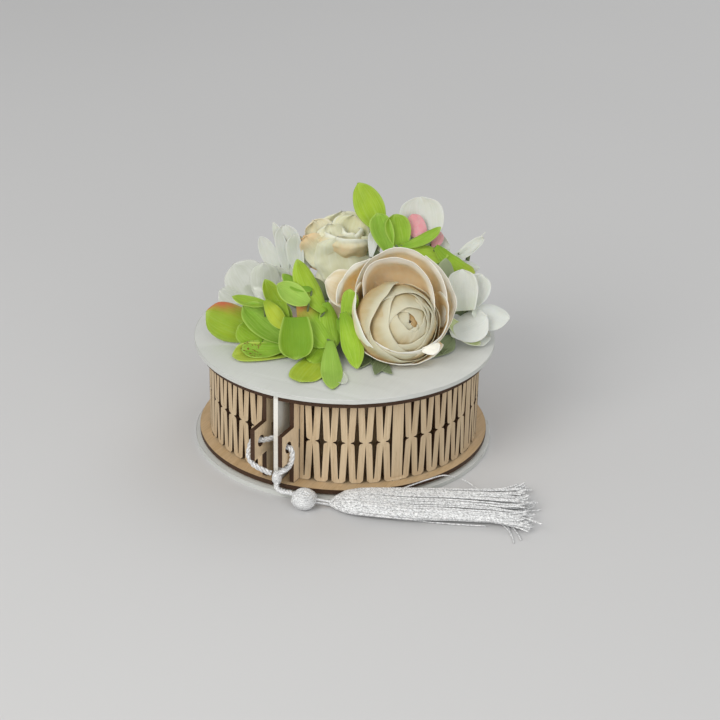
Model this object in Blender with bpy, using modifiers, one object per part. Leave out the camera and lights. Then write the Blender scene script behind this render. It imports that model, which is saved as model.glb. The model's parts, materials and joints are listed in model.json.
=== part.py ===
"""Round wooden box with two swing-out trays, a flower arrangement on its lid and a tassel tie.

The frame is a base disc, an upright divider on a diameter and a top disc.  Two half-round trays
of natural plywood turn out of the frame on dowels at the rear.  Each tray has a floor, an open
rim, a flat wall beside the divider and a bent lattice wall.  Origin: centre of the base disc's
underside, +Z up, the closure at -Y, the left tray at -X.
"""

import bpy
import bmesh
from math import acos, atan2, ceil, cos, pi, radians, sin, sqrt
from mathutils import Matrix, Vector

COLLECTION = "round_wooden_box"

# Driving dimensions, in metres
DISC_RADIUS = 0.095
SHEET = 0.003
BOX_HEIGHT = 0.070
TRAY_MARGIN = 0.0027
TRAY_RADIUS = DISC_RADIUS - TRAY_MARGIN
GAP = 0.0003
RUN_CLEARANCE = 0.0008
WASHER_THICKNESS = 0.001

# Levels that follow from the stack of sheets
BASE_TOP = SHEET
LID_UNDERSIDE = BOX_HEIGHT - SHEET
WASHER_LOW = BASE_TOP + GAP
FLOOR_LOW = WASHER_LOW + WASHER_THICKNESS + GAP
FLOOR_TOP = FLOOR_LOW + SHEET
RIM_TOP = LID_UNDERSIDE - RUN_CLEARANCE
RIM_LOW = RIM_TOP - SHEET
WALL_LOW = FLOOR_TOP + GAP
WALL_TOP = RIM_LOW - GAP
WALL_HEIGHT = WALL_TOP - WALL_LOW
WALL_MIDDLE = (WALL_TOP + WALL_LOW) / 2

# Joinery: tabs go through the sheet that they stand on and end a gap short of its far face
TAB_LENGTH = 0.014
TAB_REACH = SHEET
STRIP_TAB_LENGTH = 0.005

# Divider
DIVIDER_INSET = 0.0035
DIVIDER_FRONT = DISC_RADIUS - DIVIDER_INSET
DIVIDER_TAB_INSET = 0.043
DIVIDER_TAB_PLACE = DISC_RADIUS - DIVIDER_TAB_INSET
CORD_HOLE_RADIUS = 0.0037
CORD_HOLE_INSET = 0.0052

# Pivots at the rear, one dowel for each tray
PIVOT_X = 0.0075
PIVOT_INSET = 0.011
PIVOT_Y = DISC_RADIUS - PIVOT_INSET
PIN_RADIUS = 0.002
WASHER_RADIUS = 0.0048
TRAY_SLIP = 0.0005
TRAY_EDGE = SHEET / 2 + TRAY_SLIP
CORNER_RADIUS = PIVOT_X - TRAY_EDGE

# Flat wall of a tray, with the closure's tooth at its front end
FLAT_WALL_X = 0.00935
FLAT_WALL_INSET = 0.0037
FLAT_WALL_FRONT = TRAY_RADIUS - FLAT_WALL_INSET
PIVOT_WALL_REACH = 0.0055
FLAT_WALL_REAR = PIVOT_Y - PIVOT_WALL_REACH
FLAT_TAB_FRONT_INSET = 0.0226
FLAT_TAB_REAR_INSET = 0.0205
FLAT_TAB_PLACES = (FLAT_TAB_FRONT_INSET - FLAT_WALL_FRONT, FLAT_WALL_REAR - FLAT_TAB_REAR_INSET)
TOOTH_LENGTH = 0.0148
TOOTH_HEIGHT = 0.0205
TOOTH_HOLE_RADIUS = 0.00375
TOOTH_HOLE_INSET = 0.0077
WINDOW_INSET = 0.0060
WINDOW_FRONT = FLAT_WALL_FRONT - WINDOW_INSET
WINDOW_LENGTH = 0.018
WINDOW_HEIGHT = 0.0125

# Bent lattice wall: a semicircle between the two ends of the flat wall
LATTICE_LEDGE = 0.0103
LATTICE_RADIUS = TRAY_RADIUS - LATTICE_LEDGE
LATTICE_CENTRE_X = 0.0045
LATTICE_MID_RADIUS = LATTICE_RADIUS - SHEET / 2
END_STRIP = 0.0028
SOLID_STRIP = 0.0075
SEGMENTS = 4
CROSSES = 5
WEDGE_HALF = 0.0012
WEDGE_CORNER = 0.0016
NECK_HALF_HEIGHT = 0.0022
SLOT_HALF = 0.0003
BRIDGE = 0.0026
STAR_HALF = 0.0014
STAR_REACH = 0.0036
STAR_SHOULDER = 0.0019
STAR_FLARE = 0.0006
STAR_FLARE_HEIGHT = 0.0008
STAR_POINT_HALF = 0.0002

# Rim of a tray
RIM_LEDGE = 0.0085
RIM_INSIDE_RADIUS = LATTICE_RADIUS - RIM_LEDGE
RIM_BAR_WIDTH = 0.0165

# Tie cord, knot, bead and tassel
CORD_RADIUS = 0.0015
HANGER_RADIUS = 0.0012
CORD_SPACING = 0.0034
KNOT_RADIUS = 0.0036
BEAD_RADIUS = 0.0076
NECK_RADIUS = 0.0014
NECK_LENGTH = 0.0081
HEAD_RADIUS = 0.0075
HEAD_LENGTH = 0.014
FRINGE_HALF_HEIGHT = 0.0055
FRINGE_LENGTH = 0.106
FRINGE_HALF_WIDTH = 0.0215

# Flowers
ARRANGEMENT_OVERHANG = 0.005
ARRANGEMENT_SIZE = DISC_RADIUS + ARRANGEMENT_OVERHANG
PETAL_THICKNESS = 0.0012
HUB_RADIUS = 0.0030
STEM_RADIUS = 0.0016
STEM_FOOT_RADIUS = 0.0034
STEM_FOOT_HEIGHT = 0.0014

# Numbers of facets
RIM_FACETS = 96
HOLE_FACETS = 12
ROUND_FACETS = 16
FRINGE_FACETS = 24
FRINGE_RINGS = 12
PETAL_COLUMNS = 1
CUP_RINGS = 5
STEM_FACETS = 6


def clear_scene():
    """Remove every object, so that only this model remains."""
    for old in list(bpy.data.objects):
        bpy.data.objects.remove(old, do_unlink=True)


def make_collection(name):
    """Make a collection under the scene's own."""
    collection = bpy.data.collections.new(name)
    bpy.context.scene.collection.children.link(collection)
    return collection


def make_material(name, colour, roughness, transmission=0.0):
    """Principled material with the part's colour and roughness."""
    material = bpy.data.materials.new(name)
    material.use_nodes = True
    shader = material.node_tree.nodes["Principled BSDF"]
    shader.inputs["Base Color"].default_value = (*colour, 1.0)
    shader.inputs["Roughness"].default_value = roughness
    shader.inputs["Metallic"].default_value = 0.0
    shader.inputs["Transmission Weight"].default_value = transmission
    return material


clear_scene()
PARTS = make_collection(COLLECTION)
CUTTERS = make_collection("cutters")

WHITE_PAINT = make_material("white_paint", (0.78, 0.78, 0.76), 0.55)
PLYWOOD = make_material("natural_plywood", (0.60, 0.45, 0.29), 0.6)
DOWEL = make_material("beech_dowel", (0.62, 0.45, 0.27), 0.6)
CORD_WHITE = make_material("silver_white_cord", (0.82, 0.82, 0.80), 0.4)
CREAM = make_material("cream_petal", (0.86, 0.72, 0.52), 0.7)
IVORY = make_material("ivory_petal", (0.82, 0.76, 0.58), 0.7)
WHITE_PETAL = make_material("white_petal", (0.82, 0.83, 0.78), 0.7)
CLEAR_PETAL = make_material("clear_petal", (0.80, 0.82, 0.76), 0.4, 0.3)
GREEN_PETAL = make_material("lime_petal", (0.34, 0.58, 0.04), 0.65)
LEAF_GREEN = make_material("leaf_green", (0.18, 0.22, 0.12), 0.7)


def add_object(name, mesh, material, collection=None):
    """Link a mesh as a named object with its material."""
    made = bpy.data.objects.new(name, mesh)
    mesh.materials.clear()
    mesh.materials.append(material)
    (collection or PARTS).objects.link(made)
    return made


def face_outwards(work):
    """Turn every face of a closed bmesh outwards."""
    bmesh.ops.recalc_face_normals(work, faces=work.faces)
    if work.calc_volume(signed=True) < 0:
        bmesh.ops.reverse_faces(work, faces=work.faces)


def weld(mesh):
    """Join the loose caps of a mesh to its sides and turn every face outwards."""
    work = bmesh.new()
    work.from_mesh(mesh)
    bmesh.ops.remove_doubles(work, verts=work.verts, dist=GAP / 60)
    face_outwards(work)
    work.to_mesh(mesh)
    work.free()


def shade_smooth(mesh, sharp_angle):
    """Shade a round piece smooth, with sharp edges past an angle."""
    mesh.shade_smooth()
    mesh.set_sharp_from_angle(angle=sharp_angle)


def curve_to_mesh(curve_object, name):
    """Turn a curve object into a welded mesh in world space and remove the curve."""
    bpy.context.view_layer.update()
    evaluated = curve_object.evaluated_get(bpy.context.evaluated_depsgraph_get())
    mesh = bpy.data.meshes.new_from_object(evaluated)
    mesh.name = name
    mesh.transform(curve_object.matrix_world)
    bpy.data.objects.remove(curve_object, do_unlink=True)
    weld(mesh)
    return mesh


def sheet_mesh(name, outlines, thickness, placement):
    """Cut a sheet: a filled flat curve whose inner outlines are holes, with the sheet's thickness."""
    data = bpy.data.curves.new(name, "CURVE")
    data.dimensions = "2D"
    data.fill_mode = "BOTH"
    data.extrude = thickness / 2
    for outline in outlines:
        spline = data.splines.new("POLY")
        spline.points.add(len(outline) - 1)
        for point, (across, up) in zip(spline.points, outline):
            point.co = (across, up, 0.0, 1.0)
        spline.use_cyclic_u = True
    curve_object = bpy.data.objects.new(name, data)
    PARTS.objects.link(curve_object)
    curve_object.matrix_world = placement
    return curve_to_mesh(curve_object, name)


def lying(level):
    """Placement of a horizontal sheet whose underside is at a level."""
    return Matrix.Translation((0, 0, level + SHEET / 2))


def standing(place_x):
    """Placement of an upright sheet in the YZ plane: the outline's axes are world Y and Z."""
    turn = Matrix(((0, 0, 1), (1, 0, 0), (0, 1, 0))).to_4x4()
    return Matrix.Translation((place_x, 0, 0)) @ turn


def arc(centre, radius, start, end, count):
    """Points along an arc, both ends included."""
    steps = [start + (end - start) * index / count for index in range(count + 1)]
    return [(centre[0] + radius * cos(turn), centre[1] + radius * sin(turn)) for turn in steps]


def circle(centre, radius, facets):
    """Points of a closed circle."""
    return arc(centre, radius, 0, 2 * pi, facets)[:-1]


def rectangle(low_x, low_y, high_x, high_y):
    """Corners of an upright rectangle."""
    return [(low_x, low_y), (high_x, low_y), (high_x, high_y), (low_x, high_y)]


def turned_rectangle(centre, half_along, half_across, direction):
    """Corners of a rectangle whose long side points in a direction."""
    along = (cos(direction), sin(direction))
    across = (-along[1], along[0])
    corners = ((-half_along, -half_across), (half_along, -half_across))
    corners += ((half_along, half_across), (-half_along, half_across))
    return [(centre[0] + a * along[0] + b * across[0], centre[1] + a * along[1] + b * across[1])
            for a, b in corners]


def mirrored(outline, side):
    """An outline on the right-hand side, or its mirror image on the left."""
    return [(side * x, y) for x, y in outline]


def tab_edge(start, end, places, base, tip):
    """Points along one edge of an upright sheet, with a tab at each place."""
    points = [(start, base)]
    toward = 1 if end > start else -1
    for place in sorted(places, key=lambda value: toward * value):
        first = place - toward * TAB_LENGTH / 2
        last = place + toward * TAB_LENGTH / 2
        points += [(first, base), (first, tip), (last, tip), (last, base)]
    points.append((end, base))
    return points


def slot(centre_x, place):
    """Slot for one tab of an upright sheet, with a gap all round."""
    half_across = SHEET / 2 + GAP
    half_along = TAB_LENGTH / 2 + GAP
    return rectangle(centre_x - half_across, place - half_along, centre_x + half_across, place + half_along)


# Fixed frame


def make_disc(name, level):
    """One of the two white discs, with the dowel holes and the divider's slots."""
    outlines = [circle((0, 0), DISC_RADIUS, RIM_FACETS)]
    for side in (-1, 1):
        outlines.append(circle((side * PIVOT_X, PIVOT_Y), PIN_RADIUS + GAP, HOLE_FACETS))
        outlines.append(slot(0, side * DIVIDER_TAB_PLACE))
    mesh = sheet_mesh(name, outlines, SHEET, lying(level))
    return add_object(name, mesh, WHITE_PAINT)


def make_divider():
    """Upright sheet on the diameter; a hole near its front edge carries the tie cord."""
    places = (-DIVIDER_TAB_PLACE, DIVIDER_TAB_PLACE)
    low = BASE_TOP + GAP
    high = LID_UNDERSIDE - GAP
    outline = tab_edge(-DIVIDER_FRONT, DIVIDER_FRONT, places, low, BASE_TOP - TAB_REACH + GAP)
    outline += tab_edge(DIVIDER_FRONT, -DIVIDER_FRONT, places, high, LID_UNDERSIDE + TAB_REACH - GAP)
    hole = circle((CORD_HOLE_INSET - DIVIDER_FRONT, WALL_MIDDLE), CORD_HOLE_RADIUS, HOLE_FACETS)
    mesh = sheet_mesh("divider", [outline, hole], SHEET, standing(0))
    return add_object("divider", mesh, WHITE_PAINT)


def make_cylinder(name, centre, radius, low, high, material):
    """Upright round pin."""
    work = bmesh.new()
    middle = Matrix.Translation((centre[0], centre[1], (low + high) / 2))
    bmesh.ops.create_cone(work, cap_ends=True, segments=ROUND_FACETS, radius1=radius, radius2=radius,
                          depth=high - low, matrix=middle)
    mesh = bpy.data.meshes.new(name)
    work.to_mesh(mesh)
    work.free()
    shade_smooth(mesh, radians(40))
    return add_object(name, mesh, material)


def make_pivot(side, label):
    """Dowel through the frame and the spacing washer under a tray."""
    centre = (side * PIVOT_X, PIVOT_Y)
    make_cylinder("pivot_dowel_" + label, centre, PIN_RADIUS, GAP, BOX_HEIGHT - GAP, DOWEL)
    ring = [circle(centre, WASHER_RADIUS, ROUND_FACETS), circle(centre, PIN_RADIUS + GAP, HOLE_FACETS)]
    place = Matrix.Translation((0, 0, WASHER_LOW + WASHER_THICKNESS / 2))
    mesh = sheet_mesh("washer", ring, WASHER_THICKNESS, place)
    return add_object("pivot_washer_" + label, mesh, DOWEL)


# Trays


def tray_outline():
    """Half disc with a straight front side, a corner rounded about the pivot and a rear flat."""
    rear = PIVOT_Y + CORNER_RADIUS
    start = atan2(-sqrt(TRAY_RADIUS ** 2 - TRAY_EDGE ** 2), TRAY_EDGE)
    end = atan2(rear, sqrt(TRAY_RADIUS ** 2 - rear ** 2))
    outline = arc((0, 0), TRAY_RADIUS, start, end, RIM_FACETS // 2)
    outline += arc((PIVOT_X, PIVOT_Y), CORNER_RADIUS, pi / 2, pi, HOLE_FACETS // 2)
    return outline


def lattice_half_angle():
    """Angle from the lattice wall's middle to its end, a gap clear of the flat wall."""
    end_x = FLAT_WALL_X + SHEET / 2 + GAP
    return acos((end_x - LATTICE_CENTRE_X) / LATTICE_MID_RADIUS)


def lattice_length():
    """Length of the flat sheet before it is bent."""
    return 2 * lattice_half_angle() * LATTICE_MID_RADIUS


def lattice_pitch():
    """Width of one cross of slats."""
    solid = 2 * END_STRIP + (SEGMENTS - 1) * SOLID_STRIP
    return (lattice_length() - solid) / (SEGMENTS * CROSSES)


def segment_start(index):
    """Place along the flat sheet where a lattice segment begins."""
    return END_STRIP + index * (CROSSES * lattice_pitch() + SOLID_STRIP)


def strip_middles():
    """Middles of the solid strips between the lattice segments."""
    return [segment_start(index) - SOLID_STRIP / 2 for index in range(1, SEGMENTS)]


def lattice_angle(along):
    """Angle on the bent wall of a place along the flat sheet."""
    return along / LATTICE_MID_RADIUS - lattice_half_angle()


def strip_slots():
    """Slots for the lattice wall's tabs, set along the wall's curve."""
    slots = []
    half_along = STRIP_TAB_LENGTH / 2 + GAP
    bulge = LATTICE_MID_RADIUS * (1 - cos(half_along / LATTICE_MID_RADIUS))
    for middle in strip_middles():
        turn = lattice_angle(middle)
        centre = (LATTICE_CENTRE_X + LATTICE_MID_RADIUS * cos(turn), LATTICE_MID_RADIUS * sin(turn))
        slots.append(turned_rectangle(centre, half_along, SHEET / 2 + GAP + bulge, turn + pi / 2))
    return slots


def tray_holes():
    """Holes that a tray's floor and rim share: the dowel's and the walls' slots."""
    holes = [circle((PIVOT_X, PIVOT_Y), PIN_RADIUS + GAP, HOLE_FACETS)]
    holes += [slot(FLAT_WALL_X, place) for place in FLAT_TAB_PLACES]
    return holes + strip_slots()


def rim_opening():
    """Half-moon opening of the rim, inside the lattice wall."""
    bar = TRAY_EDGE + RIM_BAR_WIDTH
    half = acos((bar - LATTICE_CENTRE_X) / RIM_INSIDE_RADIUS)
    return arc((LATTICE_CENTRE_X, 0), RIM_INSIDE_RADIUS, -half, half, RIM_FACETS // 3)


def flat_wall_outline():
    """Outline of the flat wall, with its tooth and tabs, in the YZ plane."""
    front = -FLAT_WALL_FRONT
    tip = front - TOOTH_LENGTH
    low = WALL_MIDDLE - TOOTH_HEIGHT / 2
    high = WALL_MIDDLE + TOOTH_HEIGHT / 2
    under = FLOOR_TOP - TAB_REACH + GAP
    over = RIM_LOW + TAB_REACH - GAP
    outline = tab_edge(front, FLAT_WALL_REAR, FLAT_TAB_PLACES, WALL_LOW, under)
    outline += tab_edge(FLAT_WALL_REAR, front, FLAT_TAB_PLACES, WALL_TOP, over)
    return outline + [(front, high), (tip, high), (tip, low), (front, low)]


def make_flat_wall(side, label):
    """Flat wall beside the divider, with the cord hole in its tooth and a small window."""
    hole_y = TOOTH_HOLE_INSET - FLAT_WALL_FRONT - TOOTH_LENGTH
    hole = circle((hole_y, WALL_MIDDLE), TOOTH_HOLE_RADIUS, HOLE_FACETS)
    half = WINDOW_HEIGHT / 2
    window = rectangle(-WINDOW_FRONT, WALL_MIDDLE - half, WINDOW_LENGTH - WINDOW_FRONT, WALL_MIDDLE + half)
    outlines = [flat_wall_outline(), hole, window]
    mesh = sheet_mesh(label + "_flat_wall", outlines, SHEET, standing(side * FLAT_WALL_X))
    return add_object(label + "_flat_wall", mesh, PLYWOOD)


def wedge(middle, edge, inward):
    """Open wedge between the two slats of a cross, from one edge of the sheet to the cross's neck."""
    neck = WALL_MIDDLE - inward * NECK_HALF_HEIGHT
    corner = edge + inward * WEDGE_CORNER
    left = [(middle - WEDGE_HALF - WEDGE_CORNER, edge), (middle - WEDGE_HALF, corner)]
    right = [(middle + WEDGE_HALF, corner), (middle + WEDGE_HALF + WEDGE_CORNER, edge)]
    return left + [(middle, neck)] + right


def lattice_edge(edge, inward, tip):
    """One long edge of the flat lattice sheet, from its front end to its rear end."""
    points = [(0.0, edge)]
    for index in range(SEGMENTS):
        if index:
            middle = segment_start(index) - SOLID_STRIP / 2
            first = middle - STRIP_TAB_LENGTH / 2
            last = middle + STRIP_TAB_LENGTH / 2
            points += [(first, edge), (first, tip), (last, tip), (last, edge)]
        for cross in range(CROSSES):
            middle = segment_start(index) + lattice_pitch() * (cross + 1 / 2)
            points += wedge(middle, edge, inward)
    points.append((lattice_length(), edge))
    return points


def star_side(middle, outward):
    """One side of a star hole, bottom to top: a slot that widens and flares to a point at mid-height."""
    flare = STAR_HALF + STAR_FLARE
    lower = [
        (SLOT_HALF, WALL_HEIGHT / 2 - BRIDGE),
        (STAR_HALF, STAR_SHOULDER),
        (flare, STAR_FLARE_HEIGHT),
        (STAR_REACH, STAR_POINT_HALF),
    ]
    profile = [(across, -up) for across, up in lower] + list(reversed(lower))
    return [(middle + outward * across, WALL_MIDDLE + up) for across, up in profile]


def star_hole(middle, open_left, open_right):
    """Closed star hole between two crosses, or its half beside a solid strip."""
    reach = WALL_HEIGHT / 2 - BRIDGE
    straight_left = [(middle - SLOT_HALF, WALL_MIDDLE + reach), (middle - SLOT_HALF, WALL_MIDDLE - reach)]
    straight_right = [(middle + SLOT_HALF, WALL_MIDDLE - reach), (middle + SLOT_HALF, WALL_MIDDLE + reach)]
    right = star_side(middle, 1) if open_right else straight_right
    left = list(reversed(star_side(middle, -1))) if open_left else straight_left
    return right + left


def lattice_outlines():
    """Outline and holes of the flat lattice sheet."""
    under = FLOOR_TOP - TAB_REACH + GAP
    over = RIM_LOW + TAB_REACH - GAP
    bottom = lattice_edge(WALL_LOW, 1, under)
    top = lattice_edge(WALL_TOP, -1, over)
    outlines = [bottom + list(reversed(top))]
    for index in range(SEGMENTS):
        for cross in range(CROSSES + 1):
            middle = segment_start(index) + lattice_pitch() * cross
            outlines.append(star_hole(middle, cross > 0, cross < CROSSES))
    return outlines


def make_lattice_wall(side, label):
    """Bend the flat lattice sheet into the tray's round wall."""
    mesh = sheet_mesh(label + "_lattice_wall", lattice_outlines(), SHEET, Matrix.Identity(4))
    for vertex in mesh.vertices:
        along, up, outward = vertex.co
        turn = lattice_angle(along)
        radius = LATTICE_MID_RADIUS + outward
        vertex.co = (side * (LATTICE_CENTRE_X + radius * cos(turn)), radius * sin(turn), up)
    weld(mesh)
    return add_object(label + "_lattice_wall", mesh, PLYWOOD)


def carry(pivot, pieces):
    """Parent pieces to an empty without moving them."""
    bpy.context.view_layer.update()
    for piece in pieces:
        piece.parent = pivot
        piece.matrix_parent_inverse = pivot.matrix_world.inverted()


def make_tray(side, label):
    """One tray, carried by an empty on its pivot's axis."""
    pivot = bpy.data.objects.new(label + "_tray_pivot", None)
    PARTS.objects.link(pivot)
    pivot.location = (side * PIVOT_X, PIVOT_Y, 0)
    sheets = (("floor", FLOOR_LOW, []), ("rim", RIM_LOW, [rim_opening()]))
    pieces = [make_flat_wall(side, label), make_lattice_wall(side, label)]
    for kind, level, extra in sheets:
        outlines = [mirrored(line, side) for line in [tray_outline()] + tray_holes() + extra]
        mesh = sheet_mesh(label + "_" + kind, outlines, SHEET, lying(level))
        pieces.append(add_object(label + "_" + kind, mesh, PLYWOOD))
    carry(pivot, pieces)
    return pivot


# Tie cord and tassel.  The route's points, in metres, are chosen by hand

TIE_ROUTE = [
    (0.0053, -0.0957, 0.0167), (0.0074, -0.0959, 0.0188), (0.0105, -0.0961, 0.0214),
    (0.0128, -0.0961, 0.0258), (0.0136, -0.0959, 0.0301), (0.0132, -0.0957, 0.0335),
    (0.0119, -0.0956, 0.0354), (0.0094, -0.0953, 0.0354), (0.0074, -0.0943, 0.0354),
    (0.0056, -0.0925, 0.0354), (0.0038, -0.0899, 0.0354), (0.0020, -0.0873, 0.0354),
    (0.0000, -0.0864, 0.0354), (-0.0020, -0.0873, 0.0354), (-0.0038, -0.0899, 0.0354),
    (-0.0056, -0.0925, 0.0354), (-0.0074, -0.0943, 0.0354), (-0.0094, -0.0953, 0.0354),
    (-0.0121, -0.0957, 0.0353), (-0.0138, -0.0966, 0.0337), (-0.0141, -0.0985, 0.0302),
    (-0.0136, -0.1006, 0.0261), (-0.0110, -0.1016, 0.0225), (-0.0077, -0.1010, 0.0200),
    (-0.0039, -0.0993, 0.0178), (-0.0002, -0.0973, 0.0157),
]
HANGER_ROUTE = [
    (0.0036, -0.0969, 0.0101), (0.0040, -0.0978, 0.0081), (0.0058, -0.0987, 0.0067),
    (0.0088, -0.0994, 0.0067), (0.0120, -0.0999, 0.0072), (0.0150, -0.1003, 0.0077),
]
KNOT_CENTRE = (0.0030, -0.0955, 0.0138)
BEAD_CENTRE = (0.0232, -0.1008, 0.0078)
TASSEL_DIRECTION = radians(26.3)
# The fringe's form, as shares of its head's radius and of its own sizes
FRINGE_ROOT_SHARE = 0.86
FRINGE_THINNING_SHARE = 0.45
FRINGE_DRIFT_SHARE = -0.10
FRINGE_RIB_SHARE = 0.06
FRINGE_RAGGED_SHARE = 0.035
# Radius and place along the tassel's head, as shares of its radius and half length, end to end
HEAD_SHARES = ((0.0, 1.0), (0.86, 1.0), (1.0, 0.4), (0.9, -0.2), (0.62, -0.7), (0.25, -1.0), (0.0, -1.0))


def smooth_route(points, spacing):
    """Evenly spaced points of a smooth curve through a route's points."""
    rows = [Vector(point) for point in points]
    rows = [2 * rows[0] - rows[1]] + rows + [2 * rows[-1] - rows[-2]]
    fine = []
    steps = 8
    for index in range(1, len(rows) - 2):
        before, start, end, after = rows[index - 1:index + 3]
        for step in range(steps):
            share = step / steps
            bend = 2 * before - 5 * start + 4 * end - after
            twist = 3 * start - before - 3 * end + after
            fine.append((2 * start + (end - before) * share + bend * share ** 2 + twist * share ** 3) / 2)
    fine.append(rows[-2])
    lengths = [(second - first).length for first, second in zip(fine, fine[1:])]
    count = max(2, ceil(sum(lengths) / spacing))
    even = []
    place = 0.0
    index = 0
    for step in range(count + 1):
        target = sum(lengths) * step / count
        while index < len(lengths) - 1 and place + lengths[index] < target:
            place += lengths[index]
            index += 1
        share = (target - place) / lengths[index]
        even.append(fine[index].lerp(fine[index + 1], min(share, 1)))
    return even


def make_tube(name, points, radius, spacing, material):
    """Round cord along a smooth route, with closed ends."""
    data = bpy.data.curves.new(name, "CURVE")
    data.dimensions = "3D"
    data.bevel_depth = radius
    data.bevel_resolution = 2
    data.use_fill_caps = True
    spline = data.splines.new("POLY")
    route = smooth_route(points, spacing)
    spline.points.add(len(route) - 1)
    for point, place in zip(spline.points, route):
        point.co = (*place, 1.0)
    curve_object = bpy.data.objects.new(name, data)
    PARTS.objects.link(curve_object)
    mesh = curve_to_mesh(curve_object, name)
    shade_smooth(mesh, radians(50))
    return add_object(name, mesh, material)


def turned(name, profile, placement, material, facets=ROUND_FACETS):
    """Turned solid: a profile of radius and height, top to bottom, screwed about local Z."""
    mesh = bpy.data.meshes.new(name)
    verts = [(radius, 0, height) for radius, height in profile]
    edges = [(index, index + 1) for index in range(len(profile) - 1)]
    mesh.from_pydata(verts, edges, [])
    made = add_object(name, mesh, material)
    made.matrix_world = placement
    screw = made.modifiers.new("turn", "SCREW")
    screw.steps = facets
    screw.render_steps = facets
    screw.use_merge_vertices = True
    screw.merge_threshold = GAP / 30
    screw.use_smooth_shade = True
    return made


def ball_profile(radius, stretch=1.0, rings=8):
    """Profile of a ball or of an egg along its axis, top to bottom."""
    turns = [pi / 2 - pi * index / rings for index in range(rings + 1)]
    return [(0.0 if index in (0, rings) else radius * cos(turn), stretch * radius * sin(turn))
            for index, turn in enumerate(turns)]


def pointing(place, direction):
    """Placement whose local Z points in a direction."""
    turn = Vector(direction).to_track_quat("Z", "Y").to_matrix().to_4x4()
    return Matrix.Translation(place) @ turn


def tassel_axis():
    """Direction of the tassel on the table, away from its bead."""
    return Vector((cos(TASSEL_DIRECTION), sin(TASSEL_DIRECTION), 0))


def make_fringe(start, name):
    """Fringe lying on the table: a loft that widens from the head, with a ribbed upper side."""
    axis = tassel_axis()
    across = Vector((-axis.y, axis.x, 0))
    sides = FRINGE_FACETS
    rings = FRINGE_RINGS
    work = bmesh.new()
    loops = []
    for ring in range(rings + 1):
        share = ring / rings
        spread = FRINGE_ROOT_SHARE * HEAD_RADIUS + (FRINGE_HALF_WIDTH - HEAD_RADIUS) * share ** 1.4
        thick = FRINGE_HALF_HEIGHT * (1 - FRINGE_THINNING_SHARE * share)
        drift = FRINGE_DRIFT_SHARE * FRINGE_HALF_WIDTH * sin(pi * share)
        loop = []
        for side in range(sides):
            turn = 2 * pi * side / sides
            rib = 1 + FRINGE_RIB_SHARE * cos(side * pi) * share
            wide = spread * cos(turn) * rib + drift
            high = thick * (1 + sin(turn) * rib) + GAP
            ragged = FRINGE_RAGGED_SHARE * FRINGE_LENGTH * cos(3 * turn + 1) * share ** 6
            place = start + axis * (FRINGE_LENGTH * share + ragged) + across * wide
            loop.append(work.verts.new((place.x, place.y, high)))
        loops.append(loop)
    for first, second in zip(loops, loops[1:]):
        for side in range(sides):
            nxt = (side + 1) % sides
            work.faces.new((first[side], first[nxt], second[nxt], second[side]))
    caps = [work.faces.new(loops[0]), work.faces.new(loops[-1])]
    bmesh.ops.triangulate(work, faces=caps)
    face_outwards(work)
    mesh = bpy.data.meshes.new(name)
    work.to_mesh(mesh)
    work.free()
    return add_object(name, mesh, CORD_WHITE)


def make_tie(pivot):
    """Cord through the two teeth and the divider, its knot, the bead and the tassel.

    The tie stays with the right tray, in whose tooth it hangs when it is untied.
    """
    pieces = [make_tube("tie_cord", TIE_ROUTE, CORD_RADIUS, CORD_SPACING, CORD_WHITE)]
    pieces.append(turned("tie_knot", ball_profile(KNOT_RADIUS), Matrix.Translation(KNOT_CENTRE), CORD_WHITE))
    pieces.append(make_tube("hanger_cord", HANGER_ROUTE, HANGER_RADIUS, CORD_SPACING, CORD_WHITE))
    pieces.append(turned("bead_knot", ball_profile(BEAD_RADIUS), Matrix.Translation(BEAD_CENTRE), CORD_WHITE))
    axis = tassel_axis()
    centre = Vector(BEAD_CENTRE)
    low = BEAD_RADIUS + GAP
    high = low + NECK_LENGTH
    neck_profile = [(0, high), (NECK_RADIUS, high), (NECK_RADIUS, low), (0, low)]
    pieces.append(turned("tassel_neck", neck_profile, pointing(centre, axis), CORD_WHITE))
    head_low = high + GAP
    half = HEAD_LENGTH / 2
    profile = [(HEAD_RADIUS * across, head_low + half + half * along) for across, along in HEAD_SHARES]
    pieces.append(turned("tassel_head", profile, pointing(centre, axis), CORD_WHITE))
    start = centre + axis * (head_low + HEAD_LENGTH + GAP)
    pieces.append(make_fringe(start, "tassel_fringe"))
    carry(pivot, pieces)


# Flowers on the lid.  A flower is a hub on an upright stem, with petals that point away from the hub


def pointed(azimuth, elevation):
    """Unit vector from degrees: azimuth from -Y towards +X, elevation above the table."""
    turn = radians(azimuth)
    rise = radians(elevation)
    return Vector((sin(turn) * cos(rise), -cos(turn) * cos(rise), sin(rise)))


def on_lid(place):
    """Place from its shares of the arrangement's size, counted from the middle of the lid's top."""
    return Vector((0, 0, BOX_HEIGHT)) + ARRANGEMENT_SIZE * Vector(place)


def thick_sheet(name, rows, cyclic, grow, collection):
    """Closed sheet through rows of points, kept off the lid, for uniting with or cutting a flower."""
    lowest = BOX_HEIGHT + GAP + PETAL_THICKNESS
    work = bmesh.new()
    grid = [[work.verts.new((place.x, place.y, max(place.z, lowest))) for place in row] for row in rows]
    for first, second in zip(grid, grid[1:]):
        for index in range(len(first) if cyclic else len(first) - 1):
            nxt = (index + 1) % len(first)
            work.faces.new((first[index], first[nxt], second[nxt], second[index]))
    if cyclic:
        work.faces.new(list(reversed(grid[0])))
    mesh = bpy.data.meshes.new(name)
    work.to_mesh(mesh)
    work.free()
    made = add_object(name, mesh, GREEN_PETAL, collection)
    made.hide_render = True
    made.display_type = "WIRE"
    thicken = made.modifiers.new("thickness", "SOLIDIFY")
    thicken.thickness = PETAL_THICKNESS + 2 * grow
    thicken.offset = 0
    return made


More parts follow.
